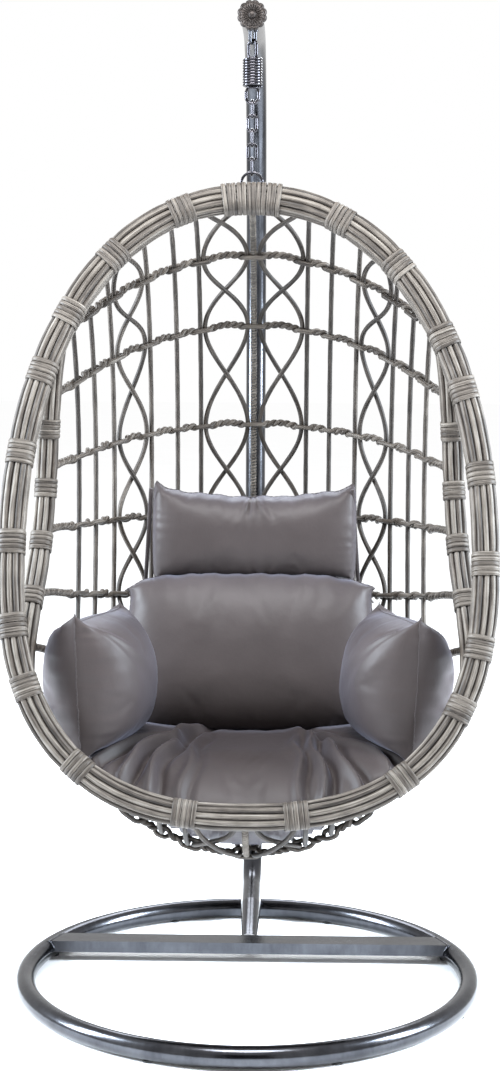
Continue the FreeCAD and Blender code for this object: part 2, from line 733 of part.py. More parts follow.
def make_ribs():
    clear = size["rimBundle"] / 2 + 8.0
    spine = thin(free_stretch(rib(0.0), clear, 0.0), 36)
    keep("spine_core", rod(spine, size["spineRod"] / 2))
    wrap = rod(spine, size["spineOuter"] / 2).cut(rod(spine, size["spineRod"] / 2 + 0.1))
    keep("spine_wrap", wrap)
    for k, across in enumerate(STAKE_PLACES, start=1):
        line = free_stretch(rib(across), clear, size["arcBundle"] / 2 + 8.0)
        stake = rod(thin(line, 28), size["stakeRod"] / 2)
        keep(f"stake_right_{k}", stake)
        keep(f"stake_left_{k}", mirror(stake))


def make_rows():
    inward = -(size["spineOuter"] / 2 + size["ropeRod"] / 2 + 1.5)
    for k, (share, _) in enumerate(ROW_LEVELS, start=1):
        edge = side_point(smooth(LEVELS, share)).x
        line = []
        for i in range(121):
            turn = math.pi * (i / 120 - 0.5) * 0.995
            line.append(net_point(edge * math.sin(turn), share, inward))
        line = free_stretch(line, size["rimBundle"] / 2 + 9.0, size["arcBundle"] / 2 + 10.0)
        keep(f"rope_row_{k}", rod(thin(line, 25), size["ropeRod"] / 2))


def lattice_strand(left, right, phase, out, first, last):
    """A strand that swings between two uprights and touches one of them at each row."""
    knots = [(share, index) for index, (share, _) in enumerate(ROW_LEVELS)]
    knots = [(0.0, -1)] + knots + [(1.0, len(ROW_LEVELS))]
    line = []
    for k in range(481):
        share = first + (last - first) * k / 480
        beat = smooth(knots, share) + phase
        middle, half = (left + right) / 2, (right - left) / 2
        across = middle + half * math.cos(math.pi * beat)
        line.append(net_point(across, share, out))
    return line


def make_lattices():
    rod_half, stake_half = size["latticeRod"] / 2, size["stakeRod"] / 2
    spine_half = size["spineOuter"] / 2
    near_out = max(stake_half, spine_half) + rod_half + 0.6
    outs = (near_out, near_out + size["latticeRod"] + 0.8)
    fields = {
        "centre": (spine_half + rod_half + 1.0, STAKE_PLACES[0] - stake_half - rod_half),
        "side": (STAKE_PLACES[2] + stake_half + rod_half, STAKE_PLACES[3] - stake_half - rod_half),
    }
    for field, (inner, outer) in fields.items():
        strands = []
        for phase, out in zip((0, 1), outs):
            line = lattice_strand(inner, outer, phase, out, 0.02, 0.97)
            line = free_stretch(line, size["rimBundle"] / 2 + 13.5, size["arcBundle"] / 2 + 8.0)
            strands.append(rod(thin(line, 60), rod_half))
        pair = Part.makeCompound(strands)
        keep(f"lattice_{field}_right", pair)
        keep(f"lattice_{field}_left", mirror(pair))


# ---------------------------------------------------------------- cushions
def pillow_body(name, width, height, thick, corner, place):
    """A plain cushion block with round corners and round edges."""
    body = doc.addObject("PartDesign::Body", name)
    sketch = sketch_on(body, "XZ_Plane", name + "_outline")
    x, z, r = width / 2, height / 2, corner
    spots = [(x, z - r, x - r, z), (-x + r, z, -x, z - r), (-x, -z + r, -x + r, -z), (x - r, -z, x, -z + r)]
    middle = r * (1 - math.sqrt(0.5))
    quarters = ((1, 1), (-1, 1), (-1, -1), (1, -1))
    bends = [(across * (x - middle), up * (z - middle)) for across, up in quarters]
    for k, (spot, bend) in enumerate(zip(spots, bends)):
        start, end = Vector(spot[0], spot[1], 0), Vector(spot[2], spot[3], 0)
        after = spots[(k + 1) % 4]
        sketch.addGeometry(Part.Arc(start, Vector(*bend, 0), end), False)
        sketch.addGeometry(Part.LineSegment(end, Vector(after[0], after[1], 0)), False)
    pad = body.newObject("PartDesign::Pad", name + "_block")
    pad.Profile = sketch
    pad.Length = thick
    pad.Midplane = True
    doc.recompute()
    soft = body.newObject("PartDesign::Fillet", name + "_edges")
    flat = [f"Edge{n}" for n, e in enumerate(pad.Shape.Edges, start=1) if abs(e.CenterOfMass.y) > thick * 0.4]
    soft.Base = (pad, flat)
    soft.Radius = thick * 0.42
    body.Tip = soft
    own(name, body, place)


def lean_back(x, y, z, pitch, yaw=0.0, roll=0.0):
    """Placement of a cushion: its centre, its lean backwards, and its turn about the vertical."""
    turn = Rotation(Vector(0, 0, 1), yaw) * Rotation(Vector(1, 0, 0), pitch) * Rotation(Vector(0, 1, 0), roll)
    return Placement(Vector(x, y, z), turn)


def make_cushions():
    rings = []
    for z, half_x, half_y in SEAT_RINGS:
        oval = Part.Wire(Part.Ellipse(Vector(0, 0, 0), half_x, half_y).toShape())
        oval.translate(Vector(0, -35.0, z))
        rings.append(oval)
    keep("seat_cushion", Part.makeLoft(rings, True))
    pillow_body("back_cushion", 505, 292, 130, 80, lean_back(0, 165, 656, -14))
    pillow_body("head_pillow", 430, 215, 110, 50, lean_back(0, 232, 922, -4))
    for side, sign in (("right", 1), ("left", -1)):
        pillow_body(f"arm_cushion_{side}", 290, 268, 140, 72, lean_back(sign * 268, -75, 668, 0, sign * 82))
    ties = []
    for sign in (-1, 1):
        knot = Vector(sign * 222, 235, 960)
        ties.append(rod([knot, knot + Vector(sign * 14, 12, 2), knot + Vector(sign * 24, 28, 4)], 4.0))
    keep("pillow_ties", Part.makeCompound(ties))


# ---------------------------------------------------------------- build, check and write
make_hoop()
make_glides()
make_crossbar()
make_posts()
make_rosette()
make_hanger_eye()
make_spring()
ring_gap = make_rim(make_chain())
make_bands(ring_gap)
make_side_arcs()
make_ribs()
make_rows()
make_lattices()
make_cushions()
doc.recompute()

for feature in doc.Objects:
    if {"Invalid", "Error"} & set(feature.State):
        raise RuntimeError(f"{feature.Label} failed: {feature.State}")
for name, feature in parts.items():
    if feature.Shape.isNull() or not feature.Shape.isValid():
        raise RuntimeError(f"{name} has no valid shape")
    feature.Shape.exportStep(f"parts/{name}.step")
    print(name, len(feature.Shape.Solids), round(feature.Shape.Volume / 1000, 1), "cm3")
print(len(parts), "sub-parts")
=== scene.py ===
import json
import math
import random

import bpy
import numpy as np
from mathutils import Matrix, Vector


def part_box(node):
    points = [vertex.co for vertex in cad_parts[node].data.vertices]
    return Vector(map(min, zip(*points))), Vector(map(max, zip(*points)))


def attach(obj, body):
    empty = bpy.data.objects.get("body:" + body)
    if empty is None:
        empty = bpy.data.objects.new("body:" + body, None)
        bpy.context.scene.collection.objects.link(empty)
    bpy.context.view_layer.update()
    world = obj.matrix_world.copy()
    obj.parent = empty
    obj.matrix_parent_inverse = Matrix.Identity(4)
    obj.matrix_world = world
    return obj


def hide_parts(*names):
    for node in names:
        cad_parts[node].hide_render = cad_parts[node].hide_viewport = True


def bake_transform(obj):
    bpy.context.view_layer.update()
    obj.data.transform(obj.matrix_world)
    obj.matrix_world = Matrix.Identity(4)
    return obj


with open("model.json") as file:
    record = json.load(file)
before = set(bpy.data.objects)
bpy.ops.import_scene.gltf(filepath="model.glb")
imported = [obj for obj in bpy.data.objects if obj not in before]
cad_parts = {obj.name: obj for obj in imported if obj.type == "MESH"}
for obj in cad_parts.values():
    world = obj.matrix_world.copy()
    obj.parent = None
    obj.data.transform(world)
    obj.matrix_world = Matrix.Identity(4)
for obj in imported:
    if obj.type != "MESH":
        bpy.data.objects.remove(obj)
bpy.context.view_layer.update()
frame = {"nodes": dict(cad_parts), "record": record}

# ---------------- dimensions, in metres, as the CAD has them
SHIFT = -0.10125            # floor hoop's centre to the origin, along Y
HANG_Y = 0.045 + SHIFT      # the axis that the basket hangs on
HOOP_RADIUS, HOOP_TUBE = 0.454, 0.042
BAR_Y, BAR_HALF_DEPTH, BAR_BOTTOM, BAR_HEIGHT = 0.161 + SHIFT, 0.028, 0.020, 0.024
TILT = math.radians(16.6)   # the front hoop leans back
MID_Y, MID_Z = -0.1596 + SHIFT, 0.912
HALF_WIDTH, UP, DOWN = 0.456, 0.716, 0.503
POWER_UP, POWER_DOWN = 2.17, 2.53
NET_POWERS = [(0.0, 0.90), (0.50, 0.67), (0.72, 0.62), (0.885, 0.78), (1.0, 0.85)]
RIM_HALF, RIM_CORNER = 0.026, 0.016
ARC_HALF, ARC_CORNER = 0.021, 0.013
ARC_UPPER, ARC_LOWER, ARC_INSET, ARC_BACK = 0.430, -0.250, 0.046, 0.096
STAKE_HALF, LATTICE_HALF, SPINE_HALF = 0.005, 0.005, 0.007
# the spine: distance behind the floor hoop's centre, and height
SPINE_POINTS = [
    (0.045, 1.598), (0.190, 1.548), (0.300, 1.440), (0.375, 1.270), (0.405, 1.080),
    (0.400, 0.880), (0.368, 0.680), (0.290, 0.502), (0.170, 0.384), (0.020, 0.320),
    (-0.130, 0.312), (-0.250, 0.366), (-0.303, 0.430),
]
# the rope rows: share of the way down the spine, and level in the front hoop's plane
ROW_LEVELS = [
    (0.120, 0.426), (0.208, 0.311), (0.320, 0.172), (0.420, 0.048),
    (0.512, -0.080), (0.605, -0.182), (0.720, -0.300), (0.885, -0.430),
]
STAKE_PLACES = [0.115, 0.165, 0.220, 0.295, 0.330, 0.360]
ROW_CLEARS = {"rim_clear": 0.016, "arc_clear": 0.014}

# ---------------- strands and wraps, in metres
RIM_STRANDS, RIM_STRAND_HALF = 12, 0.0062
ARC_STRANDS, ARC_STRAND_HALF = 10, 0.0056
WRAP_TURNS = [21, 38, 55, 65, 79, 91, 106, 121, 145, 172]       # degrees from the top, to the right
WRAP_TURNS += [-16, -35, -50, -62, -76, -89, -102, -116, -141, -170]
WRAP_STRANDS, WRAP_PITCH, WRAP_THICKNESS = 5, 0.0094, 0.0012
WRAP_SQUEEZE, WRAP_BITE = 0.06, 0.9     # how far a bundle is drawn in, and the share a wrap sinks with it
WRAP_FILL = 0.485           # half width of a wrap's strand, as a share of the pitch
TOP_WRAP_STRANDS, TOP_WRAP_PITCH, TOP_WRAP_GROWTH = 12, 0.0098, 0.0030
ARC_WRAPS, ARC_WRAP_STRANDS = (0.25, 0.42, 0.58, 0.75), 4
PAINTED_SHADE_DEPTH, PAINTED_SHADE_POWER = 1.3, 1.3     # painted shade: a bundle's strand is darker where it faces its neighbours, as shade between strands
NORMAL = np.array([0, math.cos(TILT), -math.sin(TILT)])
SIDES = (("right", 1), ("left", -1))
draws = random.Random(7)


# ---------------- the basket's surfaces, as in the CAD
def smooth(table, x):
    """Value at x of a smooth curve through (x, value) pairs."""
    last = len(table) - 2
    i = min(max(sum(1 for a, _ in table if a <= x) - 1, 0), last)
    slopes = []
    for k in (i, i + 1):
        low, high = max(k - 1, 0), min(k + 1, len(table) - 1)
        slopes.append((table[high][1] - table[low][1]) / (table[high][0] - table[low][0]))
    width = table[i + 1][0] - table[i][0]
    s = (x - table[i][0]) / width
    return (
        table[i][1] * (1 + 2 * s) * (1 - s) ** 2
        + table[i + 1][1] * s * s * (3 - 2 * s)
        + slopes[0] * width * s * (1 - s) ** 2
        - slopes[1] * width * s * s * (1 - s)
    )


def lengths_of(line):
    """Length along a run from its start to each of its points."""
    return np.concatenate([[0], np.cumsum(np.linalg.norm(np.diff(line, axis=0), axis=1))])


SHARES = (lengths_of(SPINE_POINTS) / lengths_of(SPINE_POINTS)[-1]).tolist()
SPINE_Y = [(share, behind + SHIFT) for share, (behind, _) in zip(SHARES, SPINE_POINTS)]
SPINE_Z = [(share, height) for share, (_, height) in zip(SHARES, SPINE_POINTS)]
LEVELS = [(0.0, UP)] + ROW_LEVELS + [(1.0, -DOWN)]


def on_plane(across, along, behind=0.0):
    """A point given in the front hoop's own plane."""
    return np.array([
        across,
        MID_Y + along * math.sin(TILT) + behind * math.cos(TILT),
        MID_Z + along * math.cos(TILT) - behind * math.sin(TILT),
    ])


def rim_half(along):
    """Half width of the front hoop's centreline at a level of its plane."""
    reach, power = (UP, POWER_UP) if along > 0 else (DOWN, POWER_DOWN)
    share = min(abs(along) / reach, 1.0)
    return HALF_WIDTH * (1 - share ** power) ** (1 / power)


def rim_point(turn):
    """Front hoop centreline, turn 0 at the top, clockwise seen from the front."""
    across, along = math.sin(turn), math.cos(turn)
    reach, power = (UP, POWER_UP) if along > 0 else (DOWN, POWER_DOWN)
    across = math.copysign(abs(across) ** (2 / power), across) * HALF_WIDTH
    return on_plane(across, math.copysign(abs(along) ** (2 / power), along) * reach)


def side_point(along):
    """Right edge of the net: the front hoop, or the side arc where there is one."""
    share = (along - ARC_LOWER) / (ARC_UPPER - ARC_LOWER)
    bulge = math.sin(math.pi * share) if 0 < share < 1 else 0.0
    return on_plane(rim_half(along) - ARC_INSET * bulge, along, ARC_BACK * bulge)


def net_point(across, share, out=0.0):
    """A point of the net, at a distance outwards from its middle surface."""
    edge = side_point(smooth(LEVELS, share))
    inside = max(1 - (across / max(edge[0], 0.001)) ** 2, 0.0)
    power = smooth(NET_POWERS, share)
    point = np.array([
        across,
        edge[1] + (smooth(SPINE_Y, share) - edge[1]) * math.sqrt(inside),
        edge[2] + (smooth(SPINE_Z, share) - edge[2]) * inside ** power,
    ])
    if out:
        point = point + net_normal(across, share) * out
    return point


def net_normal(across, share):
    """Direction outwards from the net."""
    step = 0.002 if across < 0 else -0.002
    small = 0.002 if share < 0.5 else -0.002
    here = net_point(across, share)
    sideways = (net_point(across + step, share) - here) / step
    down = (net_point(across, share + small) - here) / small
    normal = np.cross(sideways, down)
    return normal / np.linalg.norm(normal)


def sample(values, lengths, at):
    """Points or directions known at some lengths, read off at others."""
    return np.stack([np.interp(at, lengths, values[:, k]) for k in range(3)], axis=1)


def even(line, step, closed=False):
    """The same run of points, evenly spaced."""
    line = np.array(line)
    if closed:
        line = np.vstack([line, line[:1]])
    lengths = lengths_of(line)
    count = max(int(round(lengths[-1] / step)), 3) + 1
    points = sample(line, lengths, np.linspace(0, lengths[-1], count))
    return points[:-1] if closed else points


def round_turns(count):
    """Turns evenly round a circle."""
    return np.linspace(0, 2 * math.pi, count + 1)[:-1]


def mirrored(points, sign):
    """Points of the right side (sign 1), or the same on the left (sign -1)."""
    return points * np.array([sign, 1, 1])


RIM_LINE = even([rim_point(2 * math.pi * k / 720) for k in range(720)], 0.010, closed=True)
ARC_LEVELS = np.linspace(ARC_LOWER - 0.02, ARC_UPPER + 0.02, 90)
ARC_LINE = even([side_point(level) for level in ARC_LEVELS], 0.010)


def distance_to(points, line):
    """Each point's distance to a run of points."""
    points = np.array(points)
    return np.sqrt(((points[:, None, :] - line[None, :, :]) ** 2).sum(2)).min(1)


def between_edges(line, rim_clear, arc_clear):
    """The longest stretch of a line that is clear of the front hoop and the side arcs."""
    line = np.array(line)
    clear = distance_to(line, RIM_LINE) > rim_clear
    for _, sign in SIDES:
        clear &= distance_to(line, mirrored(ARC_LINE, sign)) > arc_clear
    best, run = [], []
    for k, good in enumerate(clear):
        run = run + [k] if good else []
        if len(run) > len(best):
            best = run
    return line[best]


# ---------------- pieces
def new_piece(name, points, faces, material):
    """A mesh with one material, as an object in the scene."""
    mesh = bpy.data.meshes.new(name)
    mesh.from_pydata(points, [], faces)
    mesh.materials.append(material)
    piece = bpy.data.objects.new(name, mesh)
    bpy.context.scene.collection.objects.link(piece)
    return piece


def quads(sheet):
    """Faces of a grid of vertex numbers."""
    return np.stack([sheet[:-1, :-1], sheet[:-1, 1:], sheet[1:, 1:], sheet[1:, :-1]], axis=2).reshape(-1, 4)


def joined(sheet):
    """The same grid with its first column repeated as its last, so that it closes round."""
    return np.hstack([sheet, sheet[:, :1]])


def shade_smooth(mesh):
    mesh.polygons.foreach_set("use_smooth", [True] * len(mesh.polygons))


def place(piece, body, slot, nodes=()):
    """Lets a piece ride a body, in place of CAD nodes if any are named."""
    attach(piece, body)
    if nodes:
        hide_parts(*nodes)


# ---------------- strands
def unit(vectors):
    return vectors / np.maximum(np.linalg.norm(vectors, axis=-1, keepdims=True), 1e-12)


def tangents(line, closed):
    if closed:
        return unit(np.roll(line, -1, axis=0) - np.roll(line, 1, axis=0))
    return unit(np.gradient(line, axis=0))


def carried(along, start):
    """A sideways direction carried along a line without twisting."""
    sides = np.empty_like(along)
    side = start
    for k, direction in enumerate(along):
        side = side - direction * side.dot(direction)
        side = side / np.linalg.norm(side)
        sides[k] = side
    return sides


def wander(lengths, wave, size):
    """A smooth small deviation along a strand."""
    total = np.zeros_like(lengths)
    for part in (1.0, 0.43, 0.21):
        total += part * np.sin(lengths * 2 * math.pi / (wave * part) + draws.uniform(0, 6.283))
    return total * size / 1.6


class Strands:
    """Gathers swept strands into one mesh with the data their grain needs."""

    def __init__(self):
        self.points, self.faces, self.grain, self.tint = [], [], [], []
        self.count = 0

    def add(self, line, half, sides=8, thin=1.0, side=None, closed=False, rough=0.0, tint=None, facing=None):
        """Sweeps a round or flat strand along a line."""
        line = np.array(line, float)
        along = tangents(line, closed)
        if side is None:
            guess = np.array([1.0, 0.13, 0.07])
            if abs(along[0].dot(guess)) > 0.8:
                guess = np.array([0.05, 1.0, 0.1])
            side = carried(along, guess)
        else:
            side = np.array(side, float)
            side = unit(side - along * (side * along).sum(1, keepdims=True))
        over = np.cross(along, side)
        lengths = lengths_of(line)
        radius = np.full(len(line), float(half)) if np.isscalar(half) else np.array(half, float)
        if rough:
            radius = radius * (1 + wander(lengths, 0.07, rough))
        turn = np.arange(sides) * 2 * math.pi / sides
        cosine, sine = np.cos(turn), np.sin(turn)
        ring = (
            line[:, None, :]
            + side[:, None, :] * (radius[:, None] * cosine)[:, :, None]
            + over[:, None, :] * (radius[:, None] * thin * sine)[:, :, None]
        )
        offset = draws.uniform(0, 40)
        grain = np.empty((len(line), sides, 3))
        grain[:, :, 0] = radius[:, None] * cosine
        grain[:, :, 1] = radius[:, None] * sine
        grain[:, :, 2] = (lengths + offset)[:, None]
        rows = len(line)
        sheet = self.count + np.arange(rows * sides).reshape(rows, sides)
        self.faces += quads(joined(np.vstack([sheet, sheet[:1]]) if closed else sheet)).tolist()
        if not closed:
            self.faces += [sheet[0, ::-1].tolist(), sheet[-1].tolist()]
        self.points.append(ring.reshape(-1, 3))
        self.grain.append(grain.reshape(-1, 3))
        value = draws.random() if tint is None else tint
        values = np.full((rows, sides), value)
        # painted shade: darker on the sides turned away from the bundle's outside, towards the neighbouring
        # strands
        if facing is not None:
            outward = np.clip(cosine * facing[0] + sine * facing[1], 0, 1)
            values = values - PAINTED_SHADE_DEPTH * (1 - outward[None, :]) ** PAINTED_SHADE_POWER
        self.tint.append(values.ravel())
        self.count += rows * sides

    def build(self, name, material):
        piece = new_piece(name, np.vstack(self.points).tolist(), self.faces, material)
        mesh = piece.data
        grain = mesh.attributes.new("grain", "FLOAT_VECTOR", "POINT")
        grain.data.foreach_set("vector", np.vstack(self.grain).astype(np.float32).ravel())
        tint = mesh.attributes.new("tint", "FLOAT", "POINT")
        tint.data.foreach_set("value", np.concatenate(self.tint).astype(np.float32))
        shade_smooth(mesh)
        mesh.update()
        return piece


# ---------------- materials
class Surface:
    """A principled material with helpers for its nodes."""

    def __init__(self, name, colour, roughness, metallic=0.0, specular=0.5):
        self.material = bpy.data.materials.new(name)
        self.material.use_nodes = True
        self.tree = self.material.node_tree
        self.tree.nodes.clear()
        self.shader = self.node("ShaderNodeBsdfPrincipled", Base_Color=(*colour, 1), Roughness=roughness)
        self.set("Metallic", metallic)
        self.set("Specular IOR Level", specular)
        self.link(self.shader.outputs["BSDF"], self.node("ShaderNodeOutputMaterial").inputs["Surface"])
        self.material.diffuse_color = (*colour, 1)

    def set(self, socket, value):
        self.shader.inputs[socket].default_value = value

    def link(self, source, target):
        self.tree.links.new(source, target)

    def node(self, kind, **values):
        """A new node, with constant values on its sockets."""
        node = self.tree.nodes.new(kind)
        for socket, value in values.items():
            node.inputs[socket.replace("_", " ")].default_value = value
        return node

    def attribute(self, name, output):
        node = self.node("ShaderNodeAttribute")
        node.attribute_name = name
        return node.outputs[output]

    def coordinates(self, scale, attribute=None):
        if attribute:
            where = self.attribute(attribute, "Vector")
        else:
            where = self.node("ShaderNodeTexCoord").outputs["Object"]
        mapping = self.node("ShaderNodeMapping", Scale=scale)
        self.link(where, mapping.inputs["Vector"])
        return mapping.outputs["Vector"]

    def noise(self, scale, detail=3.0, roughness=0.5, attribute=None):
        node = self.node("ShaderNodeTexNoise", Scale=1.0, Detail=detail, Roughness=roughness)
        self.link(self.coordinates(scale, attribute), node.inputs["Vector"])
        return node.outputs["Fac"]

    def wave(self, scale, direction, distortion=0.0):
        node = self.node("ShaderNodeTexWave", Scale=1.0, Distortion=distortion)
        node.bands_direction = direction
        self.link(self.coordinates(scale), node.inputs["Vector"])
        return node.outputs["Fac"]

    def maths(self, operation, first, second):
        node = self.tree.nodes.new("ShaderNodeMath")
        node.operation = operation
        for socket, value in zip(node.inputs, (first, second)):
            if isinstance(value, (int, float)):
                socket.default_value = value
            else:
                self.link(value, socket)
        return node.outputs[0]

    def weighted(self, *parts):
        """Sum of values, each times its weight."""
        total = None
        for value, weight in parts:
            part = self.maths("MULTIPLY", value, weight)
            total = part if total is None else self.maths("ADD", total, part)
        return total

    def ramp(self, factor, stops):
        node = self.tree.nodes.new("ShaderNodeValToRGB")
        elements = node.color_ramp.elements
        while len(elements) < len(stops):
            elements.new(0.5)
        for element, (place, colour) in zip(elements, stops):
            element.position = place
            element.color = (*colour, 1) if hasattr(colour, "__len__") else (colour, colour, colour, 1)
        self.link(factor, node.inputs["Fac"])
        return node.outputs["Color"]

    def colour(self, factor, stops):
        self.link(self.ramp(factor, stops), self.shader.inputs["Base Color"])

    def vary_roughness(self, factor, low, high):
        node = self.node("ShaderNodeMapRange", To_Min=low, To_Max=high)
        self.link(factor, node.inputs["Value"])
        self.link(node.outputs["Result"], self.shader.inputs["Roughness"])

    def bump(self, height, strength, distance):
        node = self.node("ShaderNodeBump", Strength=strength, Distance=distance)
        if self.shader.inputs["Normal"].links:
            self.link(self.shader.inputs["Normal"].links[0].from_socket, node.inputs["Normal"])
        self.link(height, node.inputs["Height"])
        self.link(node.outputs["Normal"], self.shader.inputs["Normal"])


def make_wicker():
    """Washed grey resin strand with a fine grain along it."""
    surface = Surface("washed_wicker", (0.42, 0.38, 0.34), 0.55, specular=0.25)
    fibre = surface.noise((1100, 1100, 22), 4.0, 0.6, "grain")
    streak = surface.noise((420, 420, 9), 2.0, 0.5, "grain")
    patch = surface.noise((28, 28, 28), 3.0)
    # the tint attribute holds each strand's random tone, plus painted shade where bundle strands face their
    # neighbours
    tint = surface.attribute("tint", "Fac")
    mixed = surface.weighted((fibre, 0.42), (streak, 0.30), (patch, 0.14), (tint, 0.14))
    surface.colour(mixed, [
        (0.36, (0.012, 0.009, 0.007)), (0.45, (0.048, 0.039, 0.032)),
        (0.53, (0.106, 0.092, 0.078)), (0.63, (0.182, 0.165, 0.145)),
    ])
    surface.vary_roughness(fibre, 0.42, 0.72)
    surface.bump(fibre, 0.5, 0.0004)
    surface.bump(streak, 0.4, 0.0006)
    return surface.material


def make_metal(name, dark, light, roughness, grain=260):
    """Metallic lacquer with a slight orange peel and handling marks."""
    surface = Surface(name, light, roughness, metallic=1.0)
    cloud = surface.noise((14, 14, 14), 4.0)
    peel = surface.noise((grain, grain, grain), 2.0)
    marks = surface.noise((90, 90, 30), 6.0, 0.7)
    surface.colour(surface.weighted((cloud, 0.6), (marks, 0.4)), [(0.35, dark), (0.65, light)])
    surface.vary_roughness(marks, roughness * 0.8, roughness * 1.25)
    surface.bump(peel, 0.25, 0.0003)
    return surface.material


def make_cloth():
    """Satin polyester: a fine plain weave, soft broad sheen."""
    surface = Surface("satin_cloth", (0.13, 0.112, 0.112), 0.6, specular=0.18)
    warp, weft, fill = [surface.wave((330, 330, 330), direction, 0.4) for direction in "XZY"]
    weave = surface.maths("ADD", surface.maths("MULTIPLY", warp, weft), surface.maths("MULTIPLY", fill, 0.5))
    cloud = surface.noise((9, 9, 9), 4.0)
    thread = surface.noise((900, 900, 60), 2.0)
    mixed = surface.weighted((cloud, 0.75), (thread, 0.25))
    surface.colour(mixed, [(0.30, (0.028, 0.022, 0.021)), (0.70, (0.040, 0.032, 0.031))])
    surface.vary_roughness(thread, 0.44, 0.54)
    surface.set("Sheen Weight", 0.12)
    surface.set("Sheen Roughness", 0.45)
    surface.set("Sheen Tint", (0.72, 0.76, 1.0, 1))
    surface.bump(weave, 0.12, 0.0002)
    surface.bump(surface.noise((38, 38, 38), 3.0), 0.25, 0.0025)
    return surface.material


def make_rubber():
    surface = Surface("glide_rubber", (0.03, 0.03, 0.03), 0.7)
    grain = surface.noise((400, 400, 400), 3.0)
    surface.colour(grain, [(0.3, (0.018, 0.018, 0.018)), (0.7, (0.05, 0.05, 0.05))])
    surface.bump(grain, 0.3, 0.0003)
    return surface.material


WICKER = make_wicker()
LACQUER = make_metal("pewter_lacquer", (0.036, 0.037, 0.042), (0.072, 0.074, 0.082), 0.20)
NICKEL = make_metal("dark_nickel", (0.020, 0.019, 0.022), (0.070, 0.067, 0.074), 0.20, 500)
PEWTER = make_metal("antique_pewter", (0.014, 0.012, 0.011), (0.045, 0.039, 0.036), 0.50, 700)
# painted highlight: a much lighter copy of the stand's lacquer, for the glints on the post's weld beads
WELD_HIGHLIGHT = make_metal("weld_painted_highlight", (0.35, 0.35, 0.37), (0.60, 0.60, 0.62), 0.30, 900)
CORE = make_metal("basket_steel", (0.05, 0.048, 0.046), (0.08, 0.077, 0.073), 0.5)
RUBBER = make_rubber()
CLOTH = make_cloth()

FINISHES = {
    "stand_steel": LACQUER, "cap_metal": PEWTER, "hanger_steel": NICKEL, "basket_steel": CORE,
    "glide_rubber": RUBBER, "wicker": WICKER, "cushion_fabric": CLOTH,
}
for part in frame["record"]["subparts"]:
    node = frame["nodes"][part["node"]]
    node.data.materials.clear()
    node.data.materials.append(FINISHES[part["material_slot"]])


def put(strands, name, nodes=(), body="basket", finish=WICKER, slot="wicker"):
    """Builds gathered strands as one piece on a body, in place of CAD nodes."""
    place(strands.build(name, finish), body, slot, nodes)


# ---------------- bundles and their flat wraps
def rounded_square(half, corner, count):
    """Points evenly round a square with round corners, as pairs."""
    straight = 2 * (half - corner)
    bend = math.pi / 2 * corner
    total = 4 * (straight + bend)
    points = []
    for k in range(count):
        at = (k / count * total + straight / 2) % total
        quarter, rest = int(at // (straight + bend)), at % (straight + bend)
        if rest < straight:
            x, y = half, -straight / 2 + rest
        else:
            turn = (rest - straight) / corner
            x, y = half - corner + corner * math.cos(turn), straight / 2 + corner * math.sin(turn)
        for _ in range(quarter):
            x, y = -y, x
        points.append((x, y))
    return points


def plane_frame(line, closed):
    """In-plane sideways directions along a bundle, and the directions out of its plane."""
    along = tangents(line, closed)
    across = unit(np.cross(along, NORMAL[None, :]))
    return across, unit(np.cross(along, across))


def pinch(line, wraps, reach=0.034):
    """How much a bundle is drawn in at each of its points by the wraps round it."""
    away = distance_to(line, np.array(wraps))
    return 1 - WRAP_SQUEEZE * np.exp(-(away / reach) ** 4)


def bundle(strands, line, half, corner, count, strand_half, closed, wraps):
    """Parallel strands laid round a core."""
    across, through = plane_frame(line, closed)
    drawn = pinch(line, wraps)
    lengths = lengths_of(line)
    for u, v in rounded_square(half - strand_half - 0.0004, corner - strand_half, count):
        shift_u = wander(lengths, 0.31, 0.0005)
        shift_v = wander(lengths, 0.27, 0.0003)
        if closed:
            blend = np.clip(np.minimum(lengths, lengths[-1] - lengths) / 0.08, 0, 1)
            shift_u, shift_v = shift_u * blend, shift_v * blend
        path = line + across * (u * drawn + shift_u)[:, None] + through * (v * drawn + shift_v)[:, None]
        # outward direction of this strand in the bundle, which sets where its painted shade falls
        facing = np.array([u, v]) / math.hypot(u, v)
        strands.add(path, strand_half, sides=12, side=across, closed=closed, rough=0.02, facing=facing)


def wrap(strands, centre, along, half, corner, count):
    """Flat strands wound side by side round a bundle."""
    half = half * (1 - WRAP_SQUEEZE * WRAP_BITE)
    along = along / np.linalg.norm(along)
    across = np.cross(along, NORMAL)
    across = across / np.linalg.norm(across)
    through = np.cross(along, across)
    outline = rounded_square(half + WRAP_THICKNESS, corner + WRAP_THICKNESS, 40)
    half_width = WRAP_PITCH * WRAP_FILL
    for k in range(count):
        at = (k - (count - 1) / 2) * WRAP_PITCH
        lean = draws.uniform(-0.0006, 0.0006)
        ring = []
        for n, (u, v) in enumerate(outline):
            slide = lean * math.sin(2 * math.pi * n / len(outline)) + (n / len(outline) - 0.5) * 0.0016
            ring.append(centre + across * u + through * v + along * (at + slide))
        strands.add(
            ring, half_width, thin=WRAP_THICKNESS / half_width, side=np.tile(along, (len(ring), 1)),
            closed=True, rough=0.03, tint=draws.uniform(0.0, 0.45),
        )


def make_rim():
    turns = [math.radians(degrees) for degrees in WRAP_TURNS]
    places = [rim_point(turn) for turn in turns]
    rim = Strands()
    bundle(rim, RIM_LINE, RIM_HALF, RIM_CORNER, RIM_STRANDS, RIM_STRAND_HALF, True, places)
    put(rim, "front_rim_strands", ["front_rim_wicker"])
    bands = Strands()
    for turn, middle in zip(turns, places):
        direction = rim_point(turn + 0.01) - rim_point(turn - 0.01)
        wrap(bands, middle, direction, RIM_HALF, RIM_CORNER, WRAP_STRANDS)
    put(bands, "rim_flat_wraps", ["rim_bands"])


